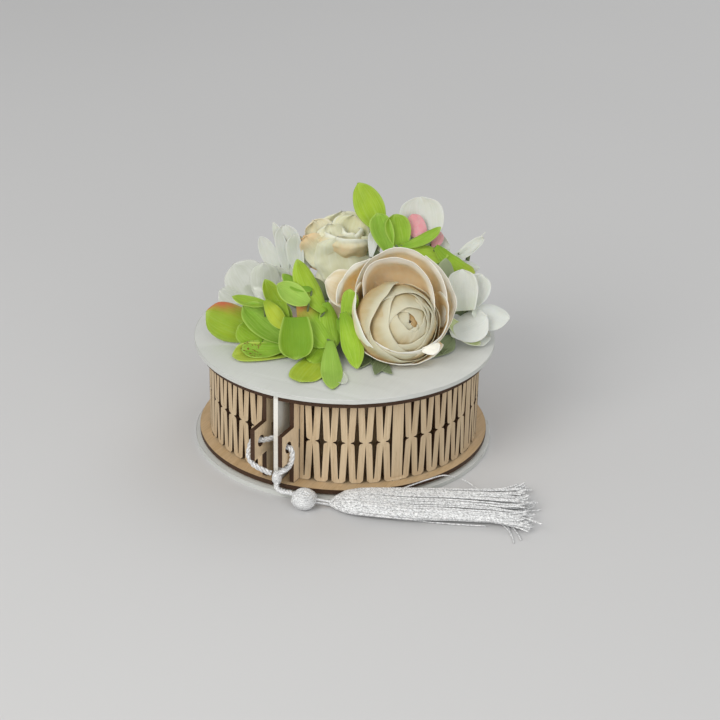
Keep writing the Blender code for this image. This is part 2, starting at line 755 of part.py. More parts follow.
def petal(name, hub, shares, grow, collection):
    """One petal from its flower's hub to its tip, cupped towards the front of the arrangement."""
    azimuth, elevation, reach, half = shares
    along = pointed(azimuth, elevation)
    face = FLOWERS_FACE - along * FLOWERS_FACE.dot(along)
    face.normalize()
    side = along.cross(face)
    length = ARRANGEMENT_SIZE * reach + grow
    rows = []
    for index, width in enumerate(PETAL_WIDTH_SHARES):
        share = index / (len(PETAL_WIDTH_SHARES) - 1)
        spread = (ARRANGEMENT_SIZE * half + grow) * width
        row = []
        for column in range(-PETAL_COLUMNS, PETAL_COLUMNS + 1):
            across = column / PETAL_COLUMNS
            lift = PETAL_CUP_SHARE * spread * across ** 2 - PETAL_ARCH_SHARE * length * share ** 2
            bow = PETAL_BOW_SHARE * length * across ** 2 * share
            row.append(hub + along * (length * share - bow) + side * (spread * across) + face * lift)
        rows.append(row)
    return thick_sheet(name, rows, False, grow, collection)


def cup(name, centre, grow, collection):
    """Large bloom's cup: petals joined round its heart, from behind the heart to a lobed rim."""
    front = pointed(*CUP_FACING)
    side = pointed(CUP_FACING[0] + 90, 0)
    top = front.cross(side)
    rows = []
    for ring in range(1, CUP_RINGS + 1):
        share = ring / CUP_RINGS
        row = []
        for turn, opening, reach, hug in CUP_RIM_SHARES:
            angle = radians(180 - (180 - opening) * share)
            length = ARRANGEMENT_SIZE * (CUP_BACK_SHARE + (reach - CUP_BACK_SHARE) * share ** hug)
            out = top * cos(radians(turn)) + side * sin(radians(turn))
            row.append(centre + (front * cos(angle) + out * sin(angle)) * (length + grow * share ** 4))
        rows.append(row)
    return thick_sheet(name, rows, True, grow, collection)


def stem_profile(hub, grow):
    """Profile of an upright stem from its hub down to its foot on the lid, as radius and height."""
    low = BOX_HEIGHT + GAP - grow
    return [
        (0, hub.z + HUB_RADIUS + grow),
        (HUB_RADIUS + grow, hub.z),
        (STEM_RADIUS + grow, hub.z - HUB_RADIUS),
        (STEM_RADIUS + grow, low + 2 * STEM_FOOT_HEIGHT + 2 * grow),
        (STEM_FOOT_RADIUS + grow, low + STEM_FOOT_HEIGHT + 2 * grow),
        (STEM_FOOT_RADIUS + grow, low),
        (0, low),
    ]


def hidden(made, collection):
    """Move an object among the cutters."""
    PARTS.objects.unlink(made)
    collection.objects.link(made)
    made.hide_render = True
    made.display_type = "WIRE"
    return made


def cutters_of(name):
    """Collection for the cutters of one flower."""
    collection = bpy.data.collections.new(name)
    CUTTERS.children.link(collection)
    return collection


def combine(made, operation, collection):
    """Unite a flower with every object of a collection, or cut them all from it."""
    step = made.modifiers.new(collection.name, "BOOLEAN")
    step.operation = operation
    step.solver = "EXACT"
    step.operand_type = "COLLECTION"
    step.collection = collection


def keep_main_body(made):
    """Apply an object's modifiers and keep its largest closed body."""
    bpy.context.view_layer.update()
    evaluated = made.evaluated_get(bpy.context.evaluated_depsgraph_get())
    mesh = bpy.data.meshes.new_from_object(evaluated)
    made.modifiers.clear()
    made.data = mesh
    work = bmesh.new()
    work.from_mesh(mesh)
    bmesh.ops.dissolve_degenerate(work, edges=work.edges, dist=GAP / 30)
    bmesh.ops.triangulate(work, faces=work.faces)
    bodies = []
    left = set(work.faces)
    while left:
        body = {left.pop()}
        fresh = list(body)
        while fresh:
            face = fresh.pop()
            near = {other for edge in face.edges for other in edge.link_faces} - body
            body |= near
            fresh += near
        left -= body
        bodies.append(body)
    bodies.sort(key=lambda body: sum(face.calc_area() for face in body))
    loose = [face for body in bodies[:-1] for face in body]
    bmesh.ops.delete(work, geom=loose, context="FACES")
    face_outwards(work)
    work.to_mesh(mesh)
    work.free()


def flower_reach(name, petals):
    """Farthest reach of a flower's petals from its hub."""
    shares = [reach for azimuth, elevation, reach, half in petals]
    if name == CUP_FLOWER:
        shares += [CUP_BACK_SHARE + reach for turn, opening, reach, hug in CUP_RIM_SHARES]
    return ARRANGEMENT_SIZE * max(shares)


def petals_of(name, hub, petals, grow, collection):
    """All petals of a flower, as closed sheets among the cutters."""
    made = [petal(name + "_petal", hub, shares, grow, collection) for shares in petals]
    if name == CUP_FLOWER:
        made.append(cup(name + "_cup", on_lid(HEART_SHARES[0][1]), grow, collection))
    return made


def stem_of(name, hub, grow, collection):
    """A flower's stem with its hub and foot, among the cutters."""
    upright = Matrix.Translation((hub.x, hub.y, 0))
    stem = turned(name + "_stem", stem_profile(hub, grow), upright, GREEN_PETAL, STEM_FACETS)
    return hidden(stem, collection)


def make_heart(name, place, share, stretch, material, grow=0.0):
    """Ball in the middle of a double flower."""
    profile = ball_profile(share * ARRANGEMENT_SIZE + grow, stretch)
    return turned(name, profile, pointing(on_lid(place), pointed(*CUP_FACING)), material)


def make_flower(name, place, material, petals):
    """One flower: its petals, cut clear of the flowers listed before it and of every other stem."""
    hub = on_lid(place)
    own = cutters_of(name + "_petals")
    room = cutters_of(name + "_room")
    stem = cutters_of(name + "_stems")
    flower = petals_of(name, hub, petals, 0, own)[0]
    own.objects.unlink(flower)
    PARTS.objects.link(flower)
    flower.name = name
    flower.data.materials[0] = material
    flower.hide_render = False
    flower.display_type = "TEXTURED"
    stem_of(name, hub, 0, stem)
    for heart in HEART_SHARES:
        hidden(make_heart(*heart, grow=GAP), room)
    ahead = True
    for other, other_place, other_material, other_petals in FLOWER_SHARES:
        other_hub = on_lid(other_place)
        ahead = ahead and other != name
        if other != name:
            stem_of(other, other_hub, GAP, room)
        reaches = flower_reach(name, petals) + flower_reach(other, other_petals)
        if ahead and (hub - other_hub).length < reaches:
            petals_of(other, other_hub, other_petals, GAP, room)
    if own.objects:
        combine(flower, "UNION", own)
    combine(flower, "DIFFERENCE", room)
    combine(flower, "UNION", stem)
    keep_main_body(flower)


def make_flowers():
    """Hearts, flowers and leaf sprays."""
    for heart in HEART_SHARES:
        make_heart(*heart)
    for flower in FLOWER_SHARES:
        make_flower(*flower)


# Share of a petal's half width along it, root to tip
PETAL_WIDTH_SHARES = (0.35, 0.90, 1.0, 0.50)
PETAL_CUP_SHARE = 0.30
PETAL_ARCH_SHARE = 0.05
PETAL_BOW_SHARE = 0.10
FLOWERS_FACE = pointed(26, 26)

# The large bloom's cup: azimuth and elevation of its opening in degrees, then its rim, clockwise
# from the top: turn and opening angle in degrees, reach from its heart's middle, and how closely
# the cup hugs its heart on the way there
CUP_FLOWER = "peony_petals"
CUP_FACING = (30, 20)
CUP_BACK_SHARE = 0.245
CUP_RIM_SHARES = (
    (0, 90, 0.43, 1.0), (15, 88, 0.41, 1.0), (32, 86, 0.385, 1.0), (50, 84, 0.34, 1.2),
    (72, 85, 0.31, 1.5), (92, 86, 0.28, 1.8), (110, 92, 0.28, 2.0), (130, 94, 0.27, 2.5),
    (150, 84, 0.26, 3.0), (166, 64, 0.27, 3.0), (180, 46, 0.31, 3.0), (196, 47, 0.33, 3.0),
    (213, 43, 0.35, 3.0), (228, 50, 0.33, 2.5), (243, 54, 0.35, 2.0), (258, 62, 0.31, 1.8),
    (272, 78, 0.33, 1.4), (284, 96, 0.42, 1.1), (296, 103, 0.51, 1.0), (308, 97, 0.42, 1.0),
    (322, 95, 0.36, 1.0), (334, 93, 0.40, 1.0), (348, 91, 0.42, 1.0),
)

# Hearts: name, place, radius, stretch along the facing and material.  Places, radii and reaches are
# shares of the arrangement's size, and a stretch is a share of the heart's radius
HEART_SHARES = (
    ("peony_heart", (0.443, -0.163, 0.252), 0.228, 1.0, CREAM),
    ("rose_heart", (-0.235, 0.445, 0.440), 0.125, 0.55, IVORY),
)

# Flowers: name, place of the hub, material and petals.  Each petal: azimuth and elevation in
# degrees from the hub to its tip, then its reach and its half width
FLOWER_SHARES = (
    ("peony_petals", (0.318, 0.058, 0.167), CREAM, ()),
    ("rose_petals", (-0.223, 0.500, 0.283), IVORY, (
        (-25, 81, 0.24, 0.19), (-153, 55, 0.34, 0.18), (-72, 32, 0.32, 0.11), (-97, 48, 0.33, 0.13),
        (110, 45, 0.26, 0.11), (-175, 66, 0.31, 0.15), (72, 28, 0.21, 0.10),
    )),
    ("white_bloom_left", (-0.508, 0.250, 0.176), WHITE_PETAL, (
        (-131, 63, 0.35, 0.10), (-112, 48, 0.38, 0.07), (-156, 68, 0.29, 0.10), (-71, 21, 0.19, 0.09),
    )),
    ("white_bloom_right", (0.699, 0.217, 0.173), WHITE_PETAL, (
        (-155, 65, 0.30, 0.11), (163, 51, 0.30, 0.10), (116, 2, 0.30, 0.12), (79, -30, 0.22, 0.08),
        (104, -25, 0.24, 0.09),
    )),
    ("white_orchid", (0.281, 0.612, 0.422), WHITE_PETAL, (
        (-137, 58, 0.34, 0.16), (142, 43, 0.14, 0.08), (128, -1, 0.16, 0.09),
    )),
    ("clear_bloom", (-0.453, -0.093, 0.119), CLEAR_PETAL, (
        (-83, 43, 0.38, 0.155), (-125, 62, 0.29, 0.12), (-68, 15, 0.37, 0.10), (-165, 52, 0.27, 0.10),
    )),
    ("green_bloom_middle", (-0.028, -0.356, 0.189), GREEN_PETAL, (
        (-14, -40, 0.24, 0.12), (-87, 42, 0.36, 0.08), (-122, 58, 0.42, 0.09), (78, -36, 0.18, 0.11),
        (16, -22, 0.48, 0.12), (42, -18, 0.56, 0.08), (-95, 18, 0.33, 0.09), (-171, 20, 0.20, 0.10),
    )),
    ("green_bloom_left", (-0.258, -0.435, 0.139), GREEN_PETAL, (
        (-78, 10, 0.46, 0.15), (-90, 30, 0.34, 0.11), (-126, 59, 0.32, 0.07), (-45, -20, 0.32, 0.11),
    )),
    ("green_bloom_right", (0.137, -0.308, 0.218), GREEN_PETAL, (
        (151, 56, 0.25, 0.08), (55, -40, 0.31, 0.09), (0, -60, 0.20, 0.07),
    )),
    ("green_sprig_top", (0.107, 0.454, 0.460), GREEN_PETAL, (
        (-105, 49, 0.46, 0.10), (-120, 60, 0.24, 0.09), (-165, 60, 0.22, 0.09), (124, 20, 0.33, 0.05),
    )),
    ("green_sprig_right", (0.341, 0.503, 0.404), GREEN_PETAL, (
        (104, -14, 0.32, 0.08), (117, 8, 0.16, 0.08), (60, -20, 0.12, 0.07),
    )),
    ("feather_petals", (0.446, 0.694, 0.346), WHITE_PETAL, (
        (136, 34, 0.25, 0.05), (103, -17, 0.18, 0.055),
    )),
    ("ribbon_petal", (-0.019, 0.462, 0.340), WHITE_PETAL, ((-147, 64, 0.18, 0.04),)),
    ("leaf_spray_right", (0.609, 0.142, 0.063), LEAF_GREEN, (
        (171, 5, 0.16, 0.07), (12, -6, 0.20, 0.05), (-158, 50, 0.42, 0.07), (27, -10, 0.20, 0.05),
    )),
    ("leaf_spray_left", (0.360, -0.420, 0.063), LEAF_GREEN, (
        (85, -15, 0.20, 0.055), (-60, -15, 0.12, 0.05), (45, -15, 0.14, 0.05),
    )),
    ("leaf_spray_middle", (-0.100, 0.120, 0.070), LEAF_GREEN, (
        (0, 20, 0.24, 0.07), (60, 30, 0.22, 0.07), (120, 20, 0.26, 0.07), (170, 33, 0.42, 0.09),
        (-150, 35, 0.36, 0.08), (-110, 15, 0.30, 0.08), (-60, 30, 0.24, 0.07),
    )),
    ("leaf_spray_rear", (0.080, 0.660, 0.130), LEAF_GREEN, (
        (-100, 25, 0.30, 0.08), (-140, 10, 0.26, 0.08), (180, 30, 0.20, 0.08), (130, 15, 0.28, 0.08),
        (80, 25, 0.26, 0.08), (30, 15, 0.24, 0.07), (-50, 20, 0.26, 0.07), (-75, 55, 0.26, 0.08),
    )),
)


make_disc("base_disc", 0.0)
make_disc("top_disc", LID_UNDERSIDE)
make_divider()
for tray_side, tray_label in ((-1, "left"), (1, "right")):
    make_pivot(tray_side, tray_label)
    tray_pivot = make_tray(tray_side, tray_label)
make_tie(tray_pivot)
make_flowers()
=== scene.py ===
"""Looks of the round wooden box with two swing-out trays, flowers on its lid and a tassel tie."""

import json
from math import ceil, cos, pi, radians, sin, sqrt
from random import Random

import bpy
import bmesh
from mathutils import Matrix, Vector, noise
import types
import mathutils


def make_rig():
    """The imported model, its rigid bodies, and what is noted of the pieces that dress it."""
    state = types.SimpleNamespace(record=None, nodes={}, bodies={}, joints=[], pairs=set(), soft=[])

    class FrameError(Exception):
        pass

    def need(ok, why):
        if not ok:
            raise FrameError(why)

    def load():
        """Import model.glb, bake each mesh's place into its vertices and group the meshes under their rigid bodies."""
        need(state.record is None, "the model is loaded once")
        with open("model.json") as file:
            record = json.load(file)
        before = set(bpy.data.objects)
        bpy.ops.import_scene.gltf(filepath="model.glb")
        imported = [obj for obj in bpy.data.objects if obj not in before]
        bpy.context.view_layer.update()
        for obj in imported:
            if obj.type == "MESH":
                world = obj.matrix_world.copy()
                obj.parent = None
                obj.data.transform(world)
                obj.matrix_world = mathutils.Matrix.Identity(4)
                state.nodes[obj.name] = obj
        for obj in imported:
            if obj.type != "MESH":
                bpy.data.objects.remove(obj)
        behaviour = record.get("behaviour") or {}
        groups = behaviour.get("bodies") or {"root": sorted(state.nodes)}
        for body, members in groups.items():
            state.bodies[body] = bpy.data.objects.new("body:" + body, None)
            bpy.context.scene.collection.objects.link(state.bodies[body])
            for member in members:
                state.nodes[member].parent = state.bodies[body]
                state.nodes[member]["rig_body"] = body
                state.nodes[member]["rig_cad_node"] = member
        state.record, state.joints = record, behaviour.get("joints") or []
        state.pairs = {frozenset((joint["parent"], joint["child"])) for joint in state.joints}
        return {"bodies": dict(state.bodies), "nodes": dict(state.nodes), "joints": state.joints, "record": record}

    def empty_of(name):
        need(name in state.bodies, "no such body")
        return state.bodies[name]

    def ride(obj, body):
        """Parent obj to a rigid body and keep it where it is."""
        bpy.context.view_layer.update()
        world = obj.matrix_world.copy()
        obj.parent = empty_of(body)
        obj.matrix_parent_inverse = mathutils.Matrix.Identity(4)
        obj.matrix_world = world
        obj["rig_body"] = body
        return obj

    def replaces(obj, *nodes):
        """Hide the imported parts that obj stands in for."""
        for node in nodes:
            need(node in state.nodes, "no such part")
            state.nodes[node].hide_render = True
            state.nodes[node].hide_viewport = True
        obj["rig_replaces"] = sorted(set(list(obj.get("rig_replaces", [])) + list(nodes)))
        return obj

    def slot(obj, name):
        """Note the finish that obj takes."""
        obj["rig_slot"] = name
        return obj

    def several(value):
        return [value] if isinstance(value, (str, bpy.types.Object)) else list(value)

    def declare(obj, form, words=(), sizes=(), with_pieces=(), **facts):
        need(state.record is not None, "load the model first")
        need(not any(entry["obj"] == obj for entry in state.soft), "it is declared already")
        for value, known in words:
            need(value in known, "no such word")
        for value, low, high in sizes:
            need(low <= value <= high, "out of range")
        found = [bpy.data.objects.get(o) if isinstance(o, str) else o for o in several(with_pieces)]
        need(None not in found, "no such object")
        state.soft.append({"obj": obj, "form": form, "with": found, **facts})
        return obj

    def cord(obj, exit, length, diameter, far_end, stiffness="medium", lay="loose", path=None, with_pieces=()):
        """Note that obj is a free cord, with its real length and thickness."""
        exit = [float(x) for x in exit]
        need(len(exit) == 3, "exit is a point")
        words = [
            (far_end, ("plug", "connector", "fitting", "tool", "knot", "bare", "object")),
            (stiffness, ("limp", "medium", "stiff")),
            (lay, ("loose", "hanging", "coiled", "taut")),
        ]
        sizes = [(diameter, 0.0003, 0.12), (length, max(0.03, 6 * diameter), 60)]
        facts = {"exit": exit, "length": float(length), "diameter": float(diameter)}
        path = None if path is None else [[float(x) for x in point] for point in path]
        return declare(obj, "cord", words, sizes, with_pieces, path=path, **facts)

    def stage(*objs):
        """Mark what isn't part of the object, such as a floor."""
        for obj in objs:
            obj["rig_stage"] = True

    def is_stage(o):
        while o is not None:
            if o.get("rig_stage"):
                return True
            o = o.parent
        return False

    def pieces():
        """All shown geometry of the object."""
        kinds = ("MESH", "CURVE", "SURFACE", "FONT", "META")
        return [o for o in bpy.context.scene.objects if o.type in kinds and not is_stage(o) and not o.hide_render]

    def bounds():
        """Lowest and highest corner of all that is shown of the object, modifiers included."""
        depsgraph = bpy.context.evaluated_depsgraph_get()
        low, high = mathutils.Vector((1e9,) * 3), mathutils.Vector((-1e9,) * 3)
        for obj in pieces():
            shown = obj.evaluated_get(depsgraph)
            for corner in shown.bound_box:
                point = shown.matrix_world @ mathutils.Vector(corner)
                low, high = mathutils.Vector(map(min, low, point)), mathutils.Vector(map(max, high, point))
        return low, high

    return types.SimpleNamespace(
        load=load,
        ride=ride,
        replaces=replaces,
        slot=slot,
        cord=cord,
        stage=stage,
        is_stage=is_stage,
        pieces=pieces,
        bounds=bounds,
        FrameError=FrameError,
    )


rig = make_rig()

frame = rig.load()
cad_box = [list(corner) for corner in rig.bounds()]
NODES = frame["nodes"]
SCENE = bpy.context.scene

LID_TOP = 0.07
LATTICE_X = 0.0045
UP = Vector((0, 0, 1))


# Camera: lengths in metres, lens and sensor in mm, picture in pixels

AZIMUTH = radians(26.254)
ELEVATION = radians(25.985)
ROLL = radians(1.185)
DISTANCE = 1.22092
TARGET = Vector((0, 0, 0.04))
AIM_RIGHT = 0.010084
AIM_UP = 0.009916
LENS = 95.29
SENSOR = 36
PICTURE = 720


def placed(name, data):
    """New object in the scene."""
    item = bpy.data.objects.new(name, data)
    SCENE.collection.objects.link(item)
    return item


def add_camera():
    """Camera at the photograph's angle: its place, and where forward, right and up are."""
    out = Vector((sin(AZIMUTH) * cos(ELEVATION), -cos(AZIMUTH) * cos(ELEVATION), sin(ELEVATION)))
    place = TARGET + DISTANCE * out
    right = Vector((cos(AZIMUTH), sin(AZIMUTH), 0))
    aim = TARGET + AIM_RIGHT * right + AIM_UP * right.cross(-out)
    forward = (aim - place).normalized()
    side = forward.cross(UP).normalized()
    over = side.cross(forward)
    side, over = cos(ROLL) * side + sin(ROLL) * over, cos(ROLL) * over - sin(ROLL) * side
    data = bpy.data.cameras.new("camera")
    data.lens = LENS
    data.sensor_width = SENSOR
    data.clip_start = 0.05
    data.clip_end = 50
    camera = placed("camera", data)
    turn = Matrix((side, over, -forward)).transposed().to_4x4()
    camera.matrix_world = Matrix.Translation(place) @ turn
    SCENE.camera = camera
    return place, forward, side, over


EYE, FORWARD, RIGHT, UPWARD = add_camera()
FOCAL = LENS / SENSOR * PICTURE
MIDDLE = PICTURE / 2


def sight_line(across, down):
    """Direction of the line of sight through a pixel of the photograph."""
    return FORWARD + RIGHT * ((across - MIDDLE) / FOCAL) - UPWARD * ((down - MIDDLE) / FOCAL)


def spot(across, down, height):
    """Point of a pixel's line of sight at a height over the lid in mm."""
    line = sight_line(across, down)
    return EYE + line * ((LID_TOP + height / 1000 - EYE.z) / line.z)


# Materials


class Shader:
    """A Principled material made node by node."""

    def __init__(self, name, roughness, **sockets):
        self.material = bpy.data.materials.new(name)
        self.material.use_nodes = True
        self.tree = self.material.node_tree
        self.main = self.tree.nodes["Principled BSDF"].inputs
        self.main["Roughness"].default_value = roughness
        for key, value in sockets.items():
            self.main[key.replace("_", " ")].default_value = value
        self.coordinates = self.tree.nodes.new("ShaderNodeTexCoord").outputs["Object"]
        self.base = None

    def put(self, socket, value):
        """Give an input a number, a triple or an output."""
        if isinstance(value, bpy.types.NodeSocket):
            self.tree.links.new(value, socket)
        elif socket.type == "RGBA":
            socket.default_value = (*value, 1)
        else:
            socket.default_value = value

    def node(self, kind, output, inputs, **settings):
        """One output of a new node with given inputs, by name or number, and settings."""
        node = self.tree.nodes.new("ShaderNode" + kind)
        for key, value in settings.items():
            setattr(node, key, value)
        for key, value in inputs.items():
            self.put(node.inputs[key], value)
        return node.outputs[output]

    def attribute(self, name):
        """A number stored on the mesh."""
        return self.node("Attribute", "Fac", {}, attribute_name=name)

    def noise(self, where, detail, rough=0.5, distortion=0):
        """Noise at a vector, or at object coordinates times one or three numbers."""
        if not isinstance(where, bpy.types.NodeSocket):
            scale = where if isinstance(where, tuple) else (where, where, where)
            where = self.node("Mapping", "Vector", {"Vector": self.coordinates, "Scale": scale})
        inputs = {"Vector": where, "Scale": 1, "Detail": detail, "Roughness": rough, "Distortion": distortion}
        return self.node("TexNoise", "Fac", inputs)

    def ramp(self, value, low, high, low_out=0, high_out=1):
        """A range of a value mapped to another range."""
        inputs = {"From Min": low, "From Max": high, "To Min": low_out, "To Max": high_out, "Value": value}
        return self.node("MapRange", "Result", inputs)

    def maths(self, operation, *values):
        """Arithmetic on outputs or numbers."""
        return self.node("Math", "Value", dict(enumerate(values)), operation=operation)

    def mix(self, share, first, second):
        """Mix of two colours, each an output or a triple."""
        return self.node("Mix", 2, {0: share, 6: first, 7: second}, data_type="RGBA")

    def over(self, colour, value, *ranges):
        """Lay a colour over the base by a share, or by the ramp of a value."""
        self.base = self.mix(self.ramp(value, *ranges) if ranges else value, self.base, colour)

    def done(self, height, distance, strength):
        """The material, with its base colour and a bump."""
        bump = {"Strength": strength, "Distance": distance, "Height": height}
        self.put(self.main["Normal"], self.node("Bump", "Normal", bump))
        self.put(self.main["Base Color"], self.base)
        return self.material


def plywood(name, grain, pale, deep):
    """Natural birch: streaks along the grain, flecks, and scorched laser-cut edges."""
    look = Shader(name, 0.62, Specular_IOR_Level=0.3)

    def fibres(along, across, *options):
        """Noise drawn out along the grain."""
        return look.noise(tuple(along if axis == grain else across for axis in "xyz"), *options)

    streak = fibres(14, 260, 4, 0.6, 0.6)
    hair = fibres(30, 1500, 2, 0.6)
    pores = look.ramp(fibres(160, 1900, 1), 0.62, 0.72)
    ragged = look.noise(700, 2)
    look.base = look.mix(look.ramp(streak, 0.34, 0.68), pale, deep)
    look.over(tuple(0.62 * part for part in deep), hair, 0.4, 0.75, 0, 0.34)
    look.over((0.6, 0.5, 0.37), look.noise(34, 2), 0.3, 0.8, 0, 0.22)
    look.over((0.22, 0.13, 0.06), look.maths("MULTIPLY", pores, 0.25))
    halo = look.maths("ADD", look.attribute("scorch"), look.ramp(ragged, 0.3, 0.7, -0.1, 0.1))
    look.over((0.3, 0.17, 0.07), halo, 0.25, 0.98, 0, 0.55)
    burnt = look.mix(ragged, (0.03, 0.014, 0.007), (0.075, 0.036, 0.017))
    look.over(burnt, look.attribute("cut"), 0.45, 0.75)
    return look.done(look.maths("ADD", streak, look.maths("MULTIPLY", hair, 0.8)), 0.00008, 0.7)


def white_paint(name, pale_edge, dark_edge):
    """White paint: faint grain, cloudy coats, ply lines on the cut edge, whose tone is painted light and shade, and a
    few chips.
    """
    look = Shader(name, 0.5, Specular_IOR_Level=0.35)
    grain = look.noise((900, 26, 900), 3, 0.6)
    cloud = look.noise(22, 3, 0.6)
    plies = look.noise((60, 60, 1500), 2)
    chips = look.ramp(look.noise((170, 210, 170), 3, 0.7), 0.7, 0.74)
    rare = look.ramp(look.noise(19, 1), 0.58, 0.62)
    look.base = look.mix(look.ramp(cloud, 0.3, 0.75), (0.66, 0.675, 0.655), (0.6, 0.61, 0.59))
    look.over((0.52, 0.52, 0.49), grain, 0.45, 0.8, 0, 0.22)
    # The cut edge's tone is painted light and shade: each board gets its own edge colours, darker as painted shade and
    # brighter as painted light; the ply lines run through it.
    edge = look.mix(look.ramp(plies, 0.45, 0.7, 0, 0.3), pale_edge, dark_edge)
    look.over(edge, look.attribute("cut"), 0.45, 0.75)
    spots = look.maths("MULTIPLY", chips, rare)
    look.over((0.3, 0.27, 0.23), look.maths("MULTIPLY", spots, 0.55))
    look.put(look.main["Roughness"], look.ramp(cloud, 0.3, 0.8, 0.42, 0.6))
    return look.done(look.maths("ADD", grain, look.maths("MULTIPLY", cloud, 0.6)), 0.00006, 0.6)


def silver_thread(name, colour, low, scale):
    """Silky white thread with a metallic glint, painted white glints, and painted shade between its strands; the
    number after the colour sets how dark that painted shade is.
    """
    look = Shader(name, 0.38, Metallic=0.15, Sheen_Weight=0.3, Specular_IOR_Level=0.7)
    sparkle = look.noise(scale, 2, 0.7)
    # Painted shade between strands: a darker copy of the thread's colour, laid in by the noise.
    painted_strand_shade = tuple(low * part for part in colour)
    look.base = look.mix(look.ramp(sparkle, 0.4, 0.58), painted_strand_shade, colour)
    # Painted white glints spotted along the threads.
    look.over((1, 1, 1), look.noise(500, 2), 0.55, 0.75, 0, 0.8)
    look.put(look.main["Roughness"], look.ramp(sparkle, 0.3, 0.7, 0.18, 0.55))
    return look.done(sparkle, 0.0001, 0.9)


SLAT_WOOD = plywood("slat_plywood", "z", (0.63, 0.5, 0.33), (0.5, 0.37, 0.225))
SHEET_WOOD = plywood("sheet_plywood", "y", (0.59, 0.43, 0.255), (0.5, 0.345, 0.18))
TOOTH_WOOD = plywood("tooth_plywood", "z", (0.84, 0.68, 0.47), (0.73, 0.56, 0.36))
# One white paint: its edge colours are painted shade on the discs' edges and painted light on the divider's front
# edge.
WHITE_PAINT = white_paint("white_painted_board", (0.56, 0.575, 0.55), (0.42, 0.41, 0.38))
LIT_DIVIDER_PAINT = white_paint("white_paint_lit_divider", (0.79, 0.78, 0.73), (0.66, 0.64, 0.58))
BEECH = plywood("beech_dowel", "z", (0.6, 0.43, 0.26), (0.52, 0.35, 0.2))
SILVER = silver_thread("silver_cord", (0.8, 0.81, 0.82), 0.6, 2200)
SILK = silver_thread("silky_thread", (0.92, 0.93, 0.94), 0.48, (620, 1500, 1500))


# Sheets of board

BROAD_FACE = 0.6


def link_mesh(name, mesh, material, body):
    """New piece that rides on a body."""
    mesh.materials.append(material)
    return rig.ride(placed(name, mesh), body)


def flat_share(axis):
    """How far a face looks along an axis."""
    return lambda face: abs(face.normal[axis])


def bent_share(side):
    """How far a face looks along the radius of a bent wall."""
    def share(face):
        centre = face.calc_center_median()
        out = Vector((centre.x - side * LATTICE_X, centre.y, 0)).normalized()
        return abs(face.normal.dot(out))
    return share


def board(node, body, share, material, halo=0.00045, chamfer=0.0001, slot="plywood"):
    """A sheet over its CAD node: softened arrises, and marks for cut faces and scorched borders."""
    work = bmesh.new()
    work.from_mesh(NODES[node].data)
    bmesh.ops.remove_doubles(work, verts=work.verts, dist=0.000002)
    bmesh.ops.recalc_face_normals(work, faces=work.faces)
    work.normal_update()
    broad = [face for face in work.faces if share(face) > BROAD_FACE]
    normals = {vert: sum((f.normal for f in vert.link_faces if share(f) > BROAD_FACE), Vector()).normalized()
               for face in broad for vert in face.verts}
    bmesh.ops.inset_region(work, faces=broad, thickness=halo, use_even_offset=False, use_boundary=True)
    for vert, normal in normals.items():
        if vert.is_valid:
            vert.co -= normal * chamfer
    work.normal_update()
    scorch = work.verts.layers.float.new("scorch")
    for vert in work.verts:
        vert[scorch] = 1 if vert in normals else 0
    cut = [1 if share(face) < BROAD_FACE else 0 for face in work.faces]
    mesh = bpy.data.meshes.new(node + "_board")
    work.to_mesh(mesh)
    work.free()
    corners = mesh.attributes.new("cut", "FLOAT", "CORNER")
    marks = [mark for mark, face in zip(cut, mesh.polygons) for _ in face.loop_indices]
    corners.data.foreach_set("value", marks)
    piece = link_mesh(node + "_board", mesh, material, body)
    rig.replaces(piece, node)
    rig.slot(piece, slot)


for disc in ("base_disc", "top_disc"):
    board(disc, "frame", flat_share(2), WHITE_PAINT, 0.0003, 0.00018, "white_board")
board("divider", "frame", flat_share(0), LIT_DIVIDER_PAINT, 0.0003, 0.00012, "white_board")
for side, tray in ((-1, "left"), (1, "right")):
    for sheet in ("_floor", "_rim"):
        board(tray + sheet, tray + "_tray", flat_share(2), SHEET_WOOD)
    board(tray + "_flat_wall", tray + "_tray", flat_share(0), TOOTH_WOOD)
    board(tray + "_lattice_wall", tray + "_tray", bent_share(side), SLAT_WOOD, 0.00032, 0.00008)
    for kind in ("pivot_dowel_", "pivot_washer_"):
        NODES[kind + tray].data.materials[0] = BEECH


# Tie cord and tassel: routes in metres

TIE_ROUTE = [
    (0.0053, -0.0957, 0.0167), (0.0074, -0.0959, 0.0188), (0.0105, -0.0961, 0.0214),
    (0.0128, -0.0961, 0.0258), (0.0136, -0.0959, 0.0301), (0.0132, -0.0957, 0.0335),
    (0.0119, -0.0956, 0.0354), (0.0094, -0.0953, 0.0354), (0.0074, -0.0943, 0.0354),
    (0.0056, -0.0925, 0.0354), (0.0038, -0.0899, 0.0354), (0.0020, -0.0873, 0.0354),
    (0.0000, -0.0864, 0.0354), (-0.0020, -0.0873, 0.0354), (-0.0038, -0.0899, 0.0354),
    (-0.0056, -0.0925, 0.0354), (-0.0074, -0.0943, 0.0354), (-0.0094, -0.0953, 0.0354),
    (-0.0121, -0.0957, 0.0353), (-0.0138, -0.0966, 0.0337), (-0.0141, -0.0985, 0.0302),
    (-0.0136, -0.1006, 0.0261), (-0.0110, -0.1016, 0.0225), (-0.0077, -0.1010, 0.0200),
    (-0.0039, -0.0993, 0.0178), (-0.0002, -0.0973, 0.0157),
]
HANGER_ROUTE = [
    (0.0036, -0.0969, 0.0101), (0.0040, -0.0978, 0.0081), (0.0058, -0.0987, 0.0067),
    (0.0088, -0.0994, 0.0067), (0.0120, -0.0999, 0.0072), (0.0150, -0.1003, 0.0077),
]
KNOT_CENTRE = Vector((0.0030, -0.0955, 0.0138))
BEAD_CENTRE = Vector((0.0242, -0.1003, 0.0060))
TASSEL_DIRECTION = radians(26.3)
